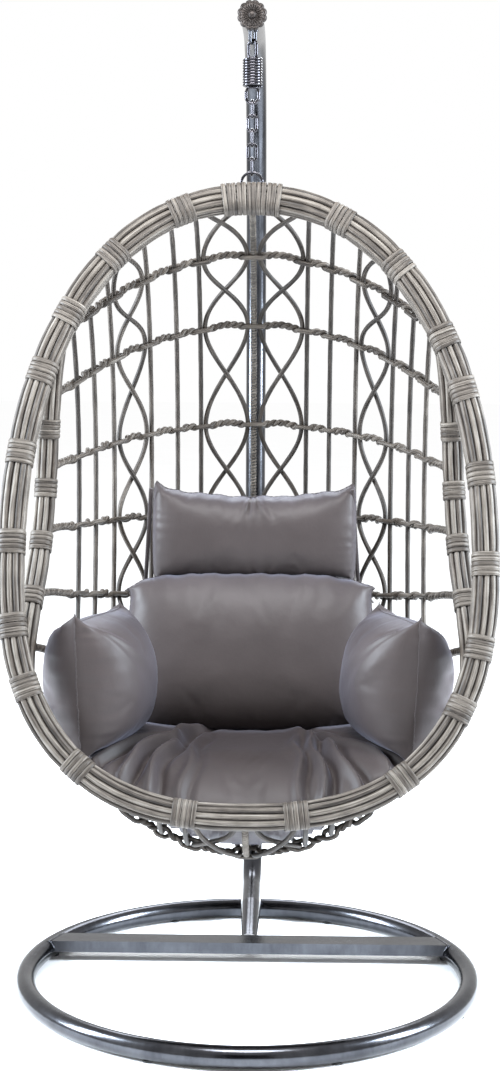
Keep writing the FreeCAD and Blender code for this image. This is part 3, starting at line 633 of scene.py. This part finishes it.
def make_top_wrap():
    step, reach = 0.0005, 0.16
    line = even([rim_point(turn) for turn in np.linspace(-reach, reach, 200)], step)
    top = Strands()
    for k in range(TOP_WRAP_STRANDS):
        at = len(line) // 2 + int(round((k - (TOP_WRAP_STRANDS - 1) / 2) * TOP_WRAP_PITCH / step))
        wrap(top, line[at], line[at + 4] - line[at - 4], RIM_HALF + TOP_WRAP_GROWTH, RIM_CORNER, 1)
    put(top, "top_flat_wrap", ["top_wrap"])


def make_arcs():
    levels = [ARC_LOWER + (ARC_UPPER - ARC_LOWER) * share for share in ARC_WRAPS]
    bands = Strands()
    for side, sign in SIDES:
        arc = Strands()
        places = [mirrored(side_point(level), sign) for level in levels]
        line = mirrored(ARC_LINE, sign)
        bundle(arc, line, ARC_HALF, ARC_CORNER, ARC_STRANDS, ARC_STRAND_HALF, False, places)
        put(arc, f"side_arc_strands_{side}", [f"side_arc_wicker_{side}"])
        for level, middle in zip(levels, places):
            direction = mirrored(side_point(level + 0.005) - side_point(level - 0.005), sign)
            wrap(bands, middle, direction, ARC_HALF, ARC_CORNER, ARC_WRAP_STRANDS)
    put(bands, "side_arc_flat_wraps", ["side_arc_bands"])


# ---------------- the open net
def rib(across, steps=400):
    """Points of the net from the hoop's top to its bottom in one upright plane."""
    line = []
    for k in range(steps + 1):
        share = k / steps
        if side_point(smooth(LEVELS, share))[0] > abs(across) + 0.001:
            line.append(net_point(across, share))
    return line


def make_spine():
    """A core with one strand wound round it, each turn against the last."""
    step, strand_half, pitch, points_a_turn = 0.0013, 0.0026, 0.0066, 9
    line = even(between_edges(rib(0.0), rim_clear=0.010, arc_clear=0.0), step)
    sideways = np.array([1.0, 0, 0])
    behind = np.cross(tangents(line, False), np.tile(sideways, (len(line), 1)))
    lengths = np.arange(len(line)) * step
    at = np.linspace(0, lengths[-1], int(lengths[-1] / pitch * points_a_turn))
    turn = at * 2 * math.pi / pitch
    radius = SPINE_HALF - strand_half
    helix = sample(line, lengths, at) + sideways[None, :] * (radius * np.cos(turn))[:, None]
    helix = helix + sample(behind, lengths, at) * (radius * np.sin(turn))[:, None]
    spine = Strands()
    spine.add(helix, strand_half, sides=6, tint=0.6)
    spine.add(line[::4], SPINE_HALF - 0.0028, sides=14, tint=0.1)
    put(spine, "spine_spiral_wrap", ["spine_wrap"])


def rod(strands, line, half, sign):
    """An upright resin rod of the net."""
    strands.add(mirrored(line, sign), half, sides=10, rough=0.05, tint=draws.uniform(-0.6, 0.0))


def make_stakes():
    for k, across in enumerate(STAKE_PLACES, start=1):
        line = even(between_edges(rib(across), **ROW_CLEARS), 0.010)
        for side, sign in SIDES:
            stake = Strands()
            rod(stake, line, STAKE_HALF, sign)
            put(stake, f"stake_rod_{side}_{k}", [f"stake_{side}_{k}"])


def lattice_bounds():
    return {
        "centre": (SPINE_HALF + LATTICE_HALF + 0.001, STAKE_PLACES[0] - STAKE_HALF - LATTICE_HALF),
        "side": (STAKE_PLACES[2] + STAKE_HALF + LATTICE_HALF, STAKE_PLACES[3] - STAKE_HALF - LATTICE_HALF),
    }


def make_lattices():
    """Pairs of waved strands that cross at every rope row and pass over each other between rows."""
    shares = [0.0] + [share for share, _ in ROW_LEVELS] + [1.0]
    knots = [(share, index - 1) for index, share in enumerate(shares)]
    lift_size = 0.0054
    for field, (inner, outer) in lattice_bounds().items():
        for side, sign in SIDES:
            pair = Strands()
            for phase in (0, 1):
                line = []
                for share in 0.005 + 0.99 * np.arange(601) / 600:
                    beat = smooth(knots, share)
                    across = (inner + outer) / 2 + (outer - inner) / 2 * math.cos(math.pi * (beat + phase))
                    lift = lift_size * math.sin(math.pi * beat) * (1 if phase else -1)
                    if side_point(smooth(LEVELS, share))[0] > across + 0.001:
                        line.append(net_point(across, share, lift))
                line = even(between_edges(line, rim_clear=0.014, arc_clear=0.012), 0.007)
                rod(pair, line, LATTICE_HALF, sign)
            put(pair, f"lattice_strands_{field}_{side}", [f"lattice_{field}_{side}"])


def crossings(edge):
    """Where rods stand on a rope row: place and half width of each group, from left to right."""
    fields = lattice_bounds()
    groups = []
    for k, across in enumerate(STAKE_PLACES):
        low, high = across - STAKE_HALF, across + STAKE_HALF
        if k == 0:
            low = fields["centre"][1] - LATTICE_HALF
        if k == 2:
            high = fields["side"][0] + LATTICE_HALF
        if k == 3:
            low = fields["side"][1] - LATTICE_HALF
        if high < edge - 0.02:
            groups.append(((low + high) / 2, (high - low) / 2))
    middle = [(0.0, SPINE_HALF + 2 * LATTICE_HALF)]
    return [(-centre, half) for centre, half in reversed(groups)] + middle + groups


def twist(across, lengths, groups, half_twist=0.015, hold=0.004):
    """Half turns of a row's two strands, which stop at each group of rods, and the scallops between."""
    held = [(centre - half - hold, centre + half + hold) for centre, half in groups]
    spans = [(-9.0, -9.0)] + held + [(9.0, 9.0)]
    phase, rise, count = np.zeros(len(across)), np.zeros(len(across)), 0
    for left, right in zip(spans, spans[1:]):
        inside = (across >= left[1]) & (across < right[0])
        if not inside.any():
            count += 1
            continue
        run = lengths[inside]
        span = run[-1] - run[0]
        halves = max(1, int(round(span / half_twist)))
        share = (run - run[0]) / max(span, 1e-6)
        phase[inside] = count + halves * share
        rise[inside] = min(span * 0.10, 0.006) * np.sin(math.pi * share)
        count += halves
        phase[(across >= right[0]) & (across < right[1])] = count
    return phase, rise


def make_rows():
    """Rows of two twined strands that part round each group of rods."""
    strand_half, closeness, parting, reach, drop = 0.0050, 0.66, 0.0052, 0.008, 0.002
    for index, (share, _) in enumerate(ROW_LEVELS, start=1):
        edge = side_point(smooth(LEVELS, share))[0]
        groups = crossings(edge)
        turns = np.linspace(-0.4985, 0.4985, 500) * math.pi
        line = between_edges([net_point(edge * math.sin(turn), share) for turn in turns], **ROW_CLEARS)
        line = even(line, 0.0025)
        normals = np.array([net_normal(point[0], share) for point in line])
        phase, rise = twist(line[:, 0], lengths_of(line), groups)
        opening = np.zeros(len(line))
        for centre, half in groups:
            gap = np.maximum(np.abs(line[:, 0] - centre) - half, 0)
            opening = np.maximum(opening, np.exp(-(gap / reach) ** 2))
        radius = strand_half * closeness + opening * parting
        turn = phase * math.pi + math.pi / 2
        upward = unit(np.cross(tangents(line, False), normals))
        upward = upward * np.sign(upward[:, 2:])
        line = line + upward * (rise - drop)[:, None]
        rope = Strands()
        for sign in (-1, 1):
            above = sign * np.cos(turn) * radius - opening * 0.002 * sign * np.sin(turn)
            path = line + upward * above[:, None] + normals * (sign * np.sin(turn) * radius)[:, None]
            rope.add(path, strand_half, rough=0.06, tint=draws.uniform(-0.3, 0.3))
        put(rope, f"twined_rope_row_{index}", [f"rope_row_{index}"])


# ---------------- hanger and stand details
def make_spring():
    """Closed coils between the hook above and the loop below."""
    low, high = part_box("spring_coil")
    wire, turns, points_a_turn, hold = 0.0029, 10, 26, 0.004
    radius = (high.x - low.x) / 2 - wire
    line = []
    for k in range(turns * points_a_turn + 1):
        share = k / (turns * points_a_turn)
        turn = share * turns * 2 * math.pi
        line.append((
            radius * math.cos(turn), HANG_Y + radius * math.sin(turn),
            low.z + wire + (high.z - low.z - 2 * wire) * share,
        ))
    coil = Strands()
    coil.add(line, wire, sides=12, side=np.array(line) - np.array([0, HANG_Y, 0]))
    piece = coil.build("spring_coils", NICKEL)
    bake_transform(piece)
    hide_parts("spring_coil")


def weld(strands, line, half, closed=False):
    """A bead of overlapping weld ripples."""
    step, wave = 0.0011, 0.0034
    line = even(line, step, closed)
    lengths = np.arange(len(line)) * step
    radius = half * (1 + 0.10 * np.abs(np.sin(lengths * math.pi / wave)) + wander(lengths, 0.03, 0.10))
    strands.add(line, radius, sides=10, closed=closed)


def make_post_welds():
    """Beads where the post's foot meets the crossbar and lies over the hoop's back, painted bright as a
    highlight.
    """
    rear, middle = BAR_Y + BAR_HALF_DEPTH, BAR_BOTTOM + BAR_HEIGHT / 2
    beads = Strands()
    weld(beads, [
        (0.0185 * math.cos(turn), rear + 0.002 + 0.0015 * math.sin(turn), middle + 0.0105 * math.sin(turn))
        for turn in round_turns(59)
    ], 0.0026, closed=True)
    hoop_back, reach, low, high = HOOP_RADIUS + SHIFT, 0.017, 0.0445, 0.0475
    for sign in (-1, 1):
        weld(beads, [
            (sign * 0.011, hoop_back - reach, low), (sign * 0.017, hoop_back, high),
            (sign * 0.011, hoop_back + reach, low),
        ], 0.0040)
    put(beads, "post_weld_beads", body="stand", finish=WELD_HIGHLIGHT, slot="stand_steel")


def inside_hoop(y):
    """Half the width inside the floor hoop's tube at a place along Y."""
    return math.sqrt((HOOP_RADIUS - HOOP_TUBE / 2) ** 2 - (y - SHIFT) ** 2)


def make_crossbar_welds():
    """Beads over the top and down the sides of each end of the crossbar."""
    front, rear = BAR_Y - BAR_HALF_DEPTH, BAR_Y + BAR_HALF_DEPTH
    top, low = BAR_BOTTOM + BAR_HEIGHT - 0.001, BAR_BOTTOM + BAR_HEIGHT / 2 - 0.004
    outward, outward_low = 0.0105, 0.0105 * 0.2
    beads = Strands()
    for sign in (-1, 1):
        weld(beads, [
            (sign * (inside_hoop(front) + outward_low), front, low),
            (sign * (inside_hoop(front) + outward), front, top),
            (sign * (inside_hoop(BAR_Y) + outward), BAR_Y, top),
            (sign * (inside_hoop(rear) + outward), rear, top),
            (sign * (inside_hoop(rear) + outward_low), rear, low),
        ], 0.0024)
    put(beads, "stand_weld_beads", body="stand", finish=LACQUER, slot="stand_steel")


def make_eye_welds():
    """Beads round the two ends of the eye, where they meet the post's tip."""
    tip_drop, eye_half, eye_turn, bead_radius, bulge = 0.045, 0.008, math.radians(50), 0.0042, 12
    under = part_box("upper_post")[1].z - tip_drop
    beads = Strands()
    for sign in (-1, 1):
        centre_x = sign * eye_half * math.cos(eye_turn)
        centre_y = HANG_Y + sign * eye_half * math.sin(eye_turn)
        ring = []
        for turn in round_turns(29):
            x = centre_x + bead_radius * math.cos(turn)
            ring.append((x, centre_y + bead_radius * math.sin(turn), under + 0.0008 + bulge * x ** 2))
        weld(beads, ring, 0.0019, closed=True)
    put(beads, "eye_weld_beads", body="stand", finish=LACQUER, slot="stand_steel")


def bell(share, middle, width):
    return math.exp(-((share - middle) / width) ** 2)


def cast_relief(share, turn, petals):
    """Height of the casting at a share of its radius: a domed rim, flutes, two grooves and a stepped boss."""
    dome = 0.0088 * math.sqrt(max(1 - max((share - 0.72) / 0.28, 0.0) ** 2, 0.0))
    flutes = 0.0011 * math.cos(turn * petals * 2) * bell(share, 0.52, 0.20)
    inner_groove, outer_groove = 0.0014 * bell(share, 0.30, 0.04), 0.0022 * bell(share, 0.80, 0.035)
    boss = 0.0040 / (1 + math.exp((share - 0.23) / 0.018)) + 0.0016 * bell(share, 0.0, 0.10)
    return max(dome + flutes - inner_groove - outer_groove + boss, 0.0)


def make_rosette():
    """Cast end cap with scalloped petals."""
    low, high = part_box("rosette_cap")
    outer, centre_z = (high.x - low.x) / 2, (low.z + high.z) / 2
    petals, rings, spokes = 12, 34, 240
    points = []
    for share in np.arange(rings + 1) / rings:
        for k in range(spokes):
            turn = 2 * math.pi * k / spokes
            scallop = abs(math.sin(turn * petals / 2)) ** 0.7
            radius = outer * (0.90 + 0.10 * scallop) * share
            y = high.y - cast_relief(share, turn, petals)
            points.append((radius * math.sin(turn), y, centre_z + radius * math.cos(turn)))
    sheet = np.arange((rings + 1) * spokes).reshape(rings + 1, spokes)
    faces = quads(joined(sheet))[:, [0, 3, 2, 1]].tolist() + [sheet[-1].tolist()]
    piece = new_piece("rosette_casting", points, faces, PEWTER)
    shade_smooth(piece.data)
    place(piece, "stand", "cap_metal", ["rosette_cap"])


# ---------------- cushions
def soften(grid, rounds):
    """A grid of values with its small features smoothed away."""
    for _ in range(rounds):
        wide = np.pad(grid, ((1, 1), (1, 1), (0, 0)), mode="edge")
        beside = wide[:-2, 1:-1] + wide[2:, 1:-1] + wide[1:-1, :-2] + wide[1:-1, 2:]
        grid = (beside + 2 * grid) / 6
    return grid


class Pillow:
    """Two sheets sewn round the edge and stuffed, as a real cushion is."""

    def __init__(self, name, width, height, belly=(0.0, 0.0), ear=(0.0, 0.0), corner=0.004, cell=0.008):
        self.name = name
        columns, rows = int(round(width / cell)), int(round(height / cell))
        xs, zs = np.meshgrid(np.linspace(-1, 1, columns + 1), np.linspace(-1, 1, rows + 1))
        pull = corner * (np.abs(xs) * np.abs(zs)) ** 8
        across = xs * (width / 2 - pull + belly[0] * (1 - zs ** 2) + ear[0] * zs ** 10)
        level = zs * (height / 2 - pull + belly[1] * (1 - xs ** 2) + ear[1] * xs ** 10)
        self.front = np.arange((rows + 1) * (columns + 1)).reshape(rows + 1, columns + 1)
        self.back = self.front.copy()
        inner = (rows - 1) * (columns - 1)
        self.back[1:-1, 1:-1] = self.front.size + np.arange(inner).reshape(rows - 1, columns - 1)
        count = self.front.size + inner
        self.flat, self.share, self.sign = np.zeros((count, 3)), np.empty((count, 2)), np.zeros(count)
        for sheet, sign in ((self.back, 1.0), (self.front, -1.0)):
            at = sheet.ravel()
            self.flat[at, 0], self.flat[at, 2] = across.ravel(), level.ravel()
            self.share[at, 0], self.share[at, 1] = xs.ravel(), zs.ravel()
            self.sign[sheet[1:-1, 1:-1].ravel()] = sign
        faces = np.stack([quads(self.front), quads(self.back)[:, ::-1]], axis=1).reshape(-1, 4)
        self.piece = new_piece(name, self.flat.tolist(), faces.tolist(), CLOTH)
        self.border = np.concatenate([
            self.front[0, :-1], self.front[:-1, -1], self.front[-1, :0:-1], self.front[:0:-1, 0],
        ]).tolist()

    def puffed(self, thick, power):
        """The stuffed shape without its creases."""
        co = self.flat.copy()
        u, v = np.abs(self.share[:, 0]), np.abs(self.share[:, 1])
        fullness = np.sqrt(np.clip(1 - u ** power, 0, 1) * np.clip(1 - v ** power, 0, 1))
        co[:, 1] = self.sign * thick / 2 * fullness
        return co

    def apply(self):
        """Makes what the modifiers give the cushion's own mesh."""
        graph = bpy.context.evaluated_depsgraph_get()
        result = bpy.data.meshes.new_from_object(self.piece.evaluated_get(graph))
        self.piece.modifiers.clear()
        self.piece.data = result

    def stuff(self, thick, power, pressure, crumple):
        """The stuffed shape, with creases from a cloth simulation that blows up the flat cut."""
        full = self.puffed(thick, power)
        flat_thick, frames, smoothing, deepest_crease = 0.03, 24, 50, 0.010
        self.move(self.puffed(flat_thick, power))
        modifier = self.piece.modifiers.new("cloth", "CLOTH")
        settings = modifier.settings
        settings.quality = 5
        settings.mass = 0.25
        settings.air_damping = 4.0
        settings.tension_stiffness = settings.compression_stiffness = 18
        settings.shear_stiffness = 6
        settings.bending_stiffness = 0.3
        settings.use_pressure = True
        settings.uniform_pressure_force = pressure
        settings.effector_weights.gravity = 0.0
        modifier.collision_settings.use_collision = False
        modifier.point_cache.frame_start = 1
        modifier.point_cache.frame_end = frames
        for number in range(1, frames + 1):
            bpy.context.scene.frame_set(number)
        self.apply()
        bpy.context.scene.frame_set(1)
        blown = self.coordinates()
        low, high = blown.min(0), blown.max(0)
        blown = (blown - (low + high) / 2) * ((full.max(0) - full.min(0)) / (high - low))
        creases = np.zeros_like(full)
        for sheet in (self.front, self.back):
            difference = (blown - full)[sheet]
            creases[sheet.ravel()] = (difference - soften(difference, smoothing)).reshape(-1, 3)
        length = np.linalg.norm(creases, axis=1, keepdims=True)
        creases *= np.minimum(1.0, deepest_crease / np.maximum(length, 1e-9))
        self.move(full + creases * crumple)

    def coordinates(self):
        co = np.empty(len(self.piece.data.vertices) * 3)
        self.piece.data.vertices.foreach_get("co", co)
        return co.reshape(-1, 3)

    def move(self, co):
        self.piece.data.vertices.foreach_set("co", co.ravel())
        self.piece.data.update()

    def shape(self, change, levels=1):
        """Rounds the cushion to a finer mesh, keeps its sewn edge sharp, and changes its shape."""
        mesh = self.piece.data
        crease = mesh.attributes.new("crease_edge", "FLOAT", "EDGE")
        pairs = {frozenset(pair) for pair in zip(self.border, self.border[1:] + self.border[:1])}
        crease.data.foreach_set("value", [0.75 * (frozenset(edge.vertices) in pairs) for edge in mesh.edges])
        self.piece.modifiers.new("round", "SUBSURF").levels = levels
        self.apply()
        self.move(change(self.coordinates()))

    def finish(self, node, fill):
        """Ride, and a welt along the seam."""
        shade_smooth(self.piece.data)
        place(self.piece, "basket", "cushion_fabric", [node])
        half, step, wave = 0.0011, 0.004, 0.011
        line = even(self.coordinates()[self.border], step, closed=True)
        lengths = np.arange(len(line)) * step
        welt = Strands()
        welt.add(line, half * (1 + 0.35 * np.sin(lengths * 2 * math.pi / wave)), sides=6, closed=True)
        put(welt, self.name + "_seam", finish=CLOTH, slot="cushion_fabric")


def turned(co, pitch=0.0, yaw=0.0, place=(0, 0, 0)):
    """Leans points back about X, then turns them about Z, then moves them."""
    matrix = Matrix.Rotation(math.radians(yaw), 3, "Z") @ Matrix.Rotation(math.radians(pitch), 3, "X")
    return co @ np.array(matrix).T + np.array(place)


def ripple(co, centre, direction, width, length, count, depth):
    """A fan of soft folds that starts at a point and dies away."""
    direction = np.array(direction, float) / np.linalg.norm(direction)
    away = co[:, [0, 2]] - np.array(centre)
    along = away @ direction
    across = away @ np.array([-direction[1], direction[0]])
    fade = np.exp(-np.clip(along, 0, None) / length) * np.clip(1 + along / 0.01, 0, 1)
    spread = width * (0.35 + np.clip(along, 0, None) / length)
    folds = np.cos(across / spread * math.pi * count) * np.exp(-(across / spread) ** 2)
    co[:, 1] += depth * fade * folds * np.where(co[:, 1] < 0, -1, 1)
    return co


def puckered(co, depth, wave):
    """Small gathers along the sewn edges."""
    half = np.abs(co).max(0)
    reach, start = 0.016, 0.003
    for along, across in ((0, 2), (2, 0)):
        inside = half[across] - np.abs(co[:, across])
        at = co[:, along] + 0.4 * wave * np.sin(co[:, along] * 41 + np.sign(co[:, across]) * 2)
        gather = np.sin(at * 2 * math.pi / wave) * (0.6 + 0.4 * np.sin(at * 57 + 1))
        fade = np.exp(-inside / reach) * np.clip(inside / start, 0, 1)
        co[:, 1] += np.sign(co[:, 1]) * depth * gather * fade
    return co


def make_back_cushion():
    pillow = Pillow("back_cushion_cover", width=0.500, height=0.292, belly=(0.012, 0.010), ear=(0.016, 0.006))
    pillow.stuff(thick=0.165, power=3.0, pressure=8.0, crumple=0.35)
    half_width, half_height, crown, hug = 0.267, 0.14, 0.036, 0.028
    gathers = ((-0.20, 0.5), (-0.11, 0.2), (0.02, 0.0), (0.09, -0.2), (0.19, -0.5))

    def change(co):
        u = co[:, 0] / half_width
        co = puckered(co, 0.0022, 0.022)
        high = np.clip(co[:, 2] / half_height, 0, 1)
        co[:, 2] += 0.0025 * np.sin(co[:, 0] * 92) * np.sin(co[:, 0] * 37 + 1) * high
        co[:, 2] += crown * (1 - np.clip(np.abs(u), 0, 1) ** 5) * high
        for start, lean in gathers:
            co = ripple(co, (start, 0.185), (lean, -1), width=0.014, length=0.022, count=1.4, depth=0.0016)
        co[:, 1] -= hug * u ** 2
        return turned(co, pitch=-14, place=(0, 0.162 + SHIFT, 0.645))

    pillow.shape(change)
    pillow.finish("back_cushion", fill=0.7)


def make_head_pillow():
    pillow = Pillow("head_pillow_cover", width=0.428, height=0.186, belly=(0.003, 0.0), ear=(0.0, 0.010))
    pillow.stuff(thick=0.125, power=3.2, pressure=7.0, crumple=0.4)
    half_width, half_height, edge, hug = 0.214, 0.09, 0.092, 0.020

    def change(co):
        u = co[:, 0] / half_width
        co = puckered(co, 0.0020, 0.020)
        co = ripple(co, (-0.004, edge), (0.05, -1), width=0.024, length=0.045, count=2.4, depth=0.0060)
        co = ripple(co, (0.014, -edge), (0, 1), width=0.024, length=0.03, count=2.0, depth=0.0030)
        for start in (-0.13, -0.075, 0.07, 0.13):
            co = ripple(co, (start, edge), (start, -1), width=0.014, length=0.018, count=1.4, depth=0.0020)
        lift = 0.022 * np.abs(u) ** 2.2 - 0.009 + 0.0022 * np.sin(u * 21) * np.sin(u * 9 + 1)
        co[:, 2] += lift * np.clip(co[:, 2] / half_height, 0, 1)
        co[:, 2] -= 0.010 * (1 - u ** 2) * np.clip(-co[:, 2] / half_height, 0, 1)
        co[:, 1] -= hug * u ** 2
        return turned(co, pitch=-4, place=(0.006, 0.236 + SHIFT, 0.905))

    pillow.shape(change, levels=2)
    pillow.finish("head_pillow", fill=0.6)


def make_arm_cushions():
    inner_edge, upper_edge, yaw = 0.137, 0.115, 90 + 15
    for side, sign in SIDES:
        pillow = Pillow(
            f"arm_cushion_cover_{side}", width=0.262, height=0.262, belly=(0.006, 0.002), ear=(0.004, 0.020),
        )
        pillow.stuff(thick=0.205, power=2.5, pressure=10.0, crumple=0.35)

        def change(co):
            co = puckered(co, 0.0022, 0.024)
            front = -sign * co[:, 0] / 0.14
            for level in (-0.09, -0.04, 0.01, 0.06, 0.10):
                start, way = (-sign * inner_edge, level), (sign, draws.uniform(-0.3, 0.3))
                co = ripple(co, start, way, width=0.013, length=0.024, count=1.3, depth=0.0022)
            start, way = (-sign * 0.100, upper_edge), (sign * 0.9, -0.7)
            co = ripple(co, start, way, width=0.020, length=0.06, count=1.8, depth=0.0045)
            co[:, 2] += (0.004 * front - 0.004) * np.clip(0.4 + co[:, 2] / 0.2, 0, 1)
            co = turned(co, yaw=yaw * sign)
            co[:, 0] += sign * 0.006 * (co[:, 2] / 0.15)
            return co + np.array([sign * 0.292, -0.085 + SHIFT, 0.652])

        pillow.shape(change)
        pillow.finish(f"arm_cushion_{side}", fill=0.85)


def net_height(x, y):
    """Height of the net's lower part under points of the seat."""
    columns, shares = np.linspace(0, 0.30, 16), np.linspace(0.66, 0.985, 40)
    edges = np.array([side_point(smooth(LEVELS, share))[0] for share in shares])
    heights = np.zeros(len(x))
    nearest = np.abs(np.abs(x)[:, None] - columns[None, :]).argmin(1)
    for k, column in enumerate(columns):
        line = np.array([net_point(column, share) for share in shares[edges > column + 0.001]])
        line = line[np.argsort(line[:, 1])]
        chosen = nearest == k
        heights[chosen] = np.interp(y[chosen], line[:, 1], line[:, 2])
    return heights


def make_seat_cushion():
    pillow = Pillow("seat_cushion_cover", 0.615, 0.440, belly=(0.012, 0.016), corner=0.07, cell=0.0075)
    pillow.stuff(thick=0.140, power=3.0, pressure=8.0, crumple=0.6)
    folds = (   # place across the seat, lean, and share of the full depth
        (-0.215, 0.7, 0.6), (-0.178, 0.45, 1.0), (-0.150, 0.25, 0.9), (-0.105, 0.10, 0.4),
        (0.098, -0.05, 0.6), (0.128, -0.15, 1.0), (0.158, -0.35, 0.9), (0.205, -0.60, 0.6),
    )
    fold_depth, fold_half, half_width = 0.019, 0.011, 0.29
    seat_height, net_gap, highest_rest = 0.445, 0.019, 0.47

    def change(co):
        x, up, y = co[:, 0].copy(), -co[:, 1].copy(), co[:, 2].copy()
        for centre, lean, share in folds:
            bend = 0.006 * np.sin(y * 38 + centre * 60)
            across = x - centre - lean * (y + 0.05) - bend
            fold = np.exp(-(across / fold_half) ** 2) - 0.9 * np.exp(-((across - 0.017) / fold_half) ** 2)
            up += np.where(up > 0, 1, 0) * fold_depth * share * fold * np.clip(1.1 - (y + 0.06) / 0.20, 0, 1)
        slope = 0.03 * y - np.where(up > 0, 0.030, 0.010) * np.clip(-(y + 0.05) / 0.18, 0, 1) ** 2
        bowl = 0.060 * np.abs(x / half_width) ** 2.5
        bottom = up < 0
        z = seat_height + np.where(bottom, up * 1.7, up) + bowl + slope
        y = y - 0.040 + SHIFT
        rest = np.minimum(net_height(x, y) + net_gap, highest_rest)
        return np.stack([x, y, np.where(bottom, np.maximum(z, rest), z)], axis=1)

    pillow.shape(change)
    pillow.finish("seat_cushion", fill=0.6)


def make_ties():
    """Flat fabric ties that hold the head pillow's corners to the net."""
    strap, ties = 0.0045, Strands()
    for sign in (-1, 1):
        anchor = net_point(sign * 0.232, ROW_LEVELS[4][0])
        corner = np.array([sign * 0.212, 0.205 + SHIFT, 1.005])
        knot = anchor + np.array([0, -0.012, 0.0])
        sag = (corner + knot) / 2 + np.array([0, 0, -0.006])
        ties.add(even([corner, sag, knot], 0.003), strap, thin=0.4)
        loop = [anchor + np.array([0.0, 0.013 * math.cos(t), 0.013 * math.sin(t)]) for t in round_turns(29)]
        ties.add(loop, strap, thin=0.4, closed=True, side=np.tile([1.0, 0, 0], (len(loop), 1)))
        lump = [(0.006 * math.cos(t), 0.002 * math.sin(2 * t), 0.007 * math.sin(t)) for t in round_turns(23)]
        ties.add(knot + np.array(lump), 0.004, thin=0.6, closed=True)
        for lean, drop in ((0.9, 0.030 * 0.4), (-0.4, 0.036)):
            end = knot + np.array([sign * 0.02 * lean + sign * 0.012, -0.004, -drop])
            middle = (knot + end) / 2 + np.array([sign * 0.006, -0.006, 0.004])
            ties.add(even([knot, middle, end], 0.003), 0.0048, thin=0.35)
    put(ties, "head_pillow_ties", ["pillow_ties"], finish=CLOTH, slot="cushion_fabric")


# ---------------- studio
def make_card(name, corners, surface, scale, dark, light):
    """A flat part of the studio."""
    surface.colour(surface.noise((scale, scale, scale), 3.0), [(0.3, dark), (0.7, light)])
    card = new_piece(name, corners, [(0, 1, 2, 3)], surface.material)
    return card


def make_floor():
    reach = 30.0
    corners = [(-reach, -reach, 0), (reach, -reach, 0), (reach, reach, 0), (-reach, reach, 0)]
    surface = Surface("pale_floor", (0.98, 0.98, 0.98), 0.8, specular=0.0)
    make_card("studio_floor", corners, surface, 3, (0.975, 0.975, 0.975), (0.99, 0.99, 0.99))


def make_flag():
    """A dark card behind the camera, so that bright metal has something dark to reflect."""
    half, low, high, y = 1.3, 0.2, 5.0, -6
    corners = [(-half, y, low), (half, y, low), (half, y, high), (-half, y, high)]
    surface = Surface("flag_felt", (0.01, 0.01, 0.01), 1.0, specular=0.0)
    flag = make_card("dark_flag", corners, surface, 40, (0.008, 0.008, 0.009), (0.014, 0.014, 0.015))
    flag.visible_camera = False


def make_light(name, where, aim, size, power, colour):
    data = bpy.data.lights.new(name, "AREA")
    data.shape = "RECTANGLE"
    data.size, data.size_y = size
    data.energy = power
    data.color = colour
    light = bpy.data.objects.new(name, data)
    light.location = where
    light.rotation_euler = (Vector(aim) - Vector(where)).to_track_quat("-Z", "Y").to_euler()
    light.visible_camera = False
    bpy.context.scene.collection.objects.link(light)


def make_studio():
    make_floor()
    make_flag()
    for side, sign in SIDES:
        where, aim = (sign * 3.0, -0.45, 1.9), (0, -0.2, 0.75)
        make_light(f"softbox_{side}", where, aim, (0.9, 1.8), 480, (0.80, 0.90, 1.0))
    make_light("softbox_top", (0, -1.05, 2.70), (0, -0.1, 0.7), (1.0, 0.6), 90, (0.96, 0.98, 1.0))
    make_light("softbox_back", (0, 3.0, 2.9), (0, 0, 0.9), (2.4, 1.0), 90, (0.90, 0.94, 1.0))
    world = bpy.data.worlds.new("studio")
    world.use_nodes = True
    background = world.node_tree.nodes["Background"]
    background.inputs["Color"].default_value = (1.0, 1.0, 1.0, 1)
    background.inputs["Strength"].default_value = 1.0
    scene = bpy.context.scene
    scene.world = world
    scene.view_settings.view_transform = "Standard"
    scene.view_settings.look = "None"


def make_camera():
    data = bpy.data.cameras.new("camera")
    data.sensor_width = 36.0    # millimetres, like the lens
    data.lens = 64.7395
    pitch, yaw, roll = math.radians(6.222), math.radians(-1.119), math.radians(0.307)
    forward = Vector((math.sin(yaw) * math.cos(pitch), math.cos(yaw) * math.cos(pitch), -math.sin(pitch)))
    right = Vector((math.cos(yaw), -math.sin(yaw), 0))
    up = right.cross(forward)
    rolled_right = right * math.cos(roll) + up * math.sin(roll)
    rolled_up = up * math.cos(roll) - right * math.sin(roll)
    rotation = Matrix((rolled_right, rolled_up, -forward)).transposed()
    camera = bpy.data.objects.new("camera", data)
    camera.matrix_world = Matrix.Translation((0.0758, -3.8359 + SHIFT, 1.3472)) @ rotation.to_4x4()
    bpy.context.scene.collection.objects.link(camera)
    bpy.context.scene.camera = camera


make_camera()
make_rim()
make_top_wrap()
make_arcs()
make_spine()
make_stakes()
make_lattices()
make_rows()
make_spring()
make_post_welds()
make_crossbar_welds()
make_eye_welds()
make_rosette()
make_seat_cushion()
make_back_cushion()
make_head_pillow()
make_arm_cushions()
make_ties()
make_studio()
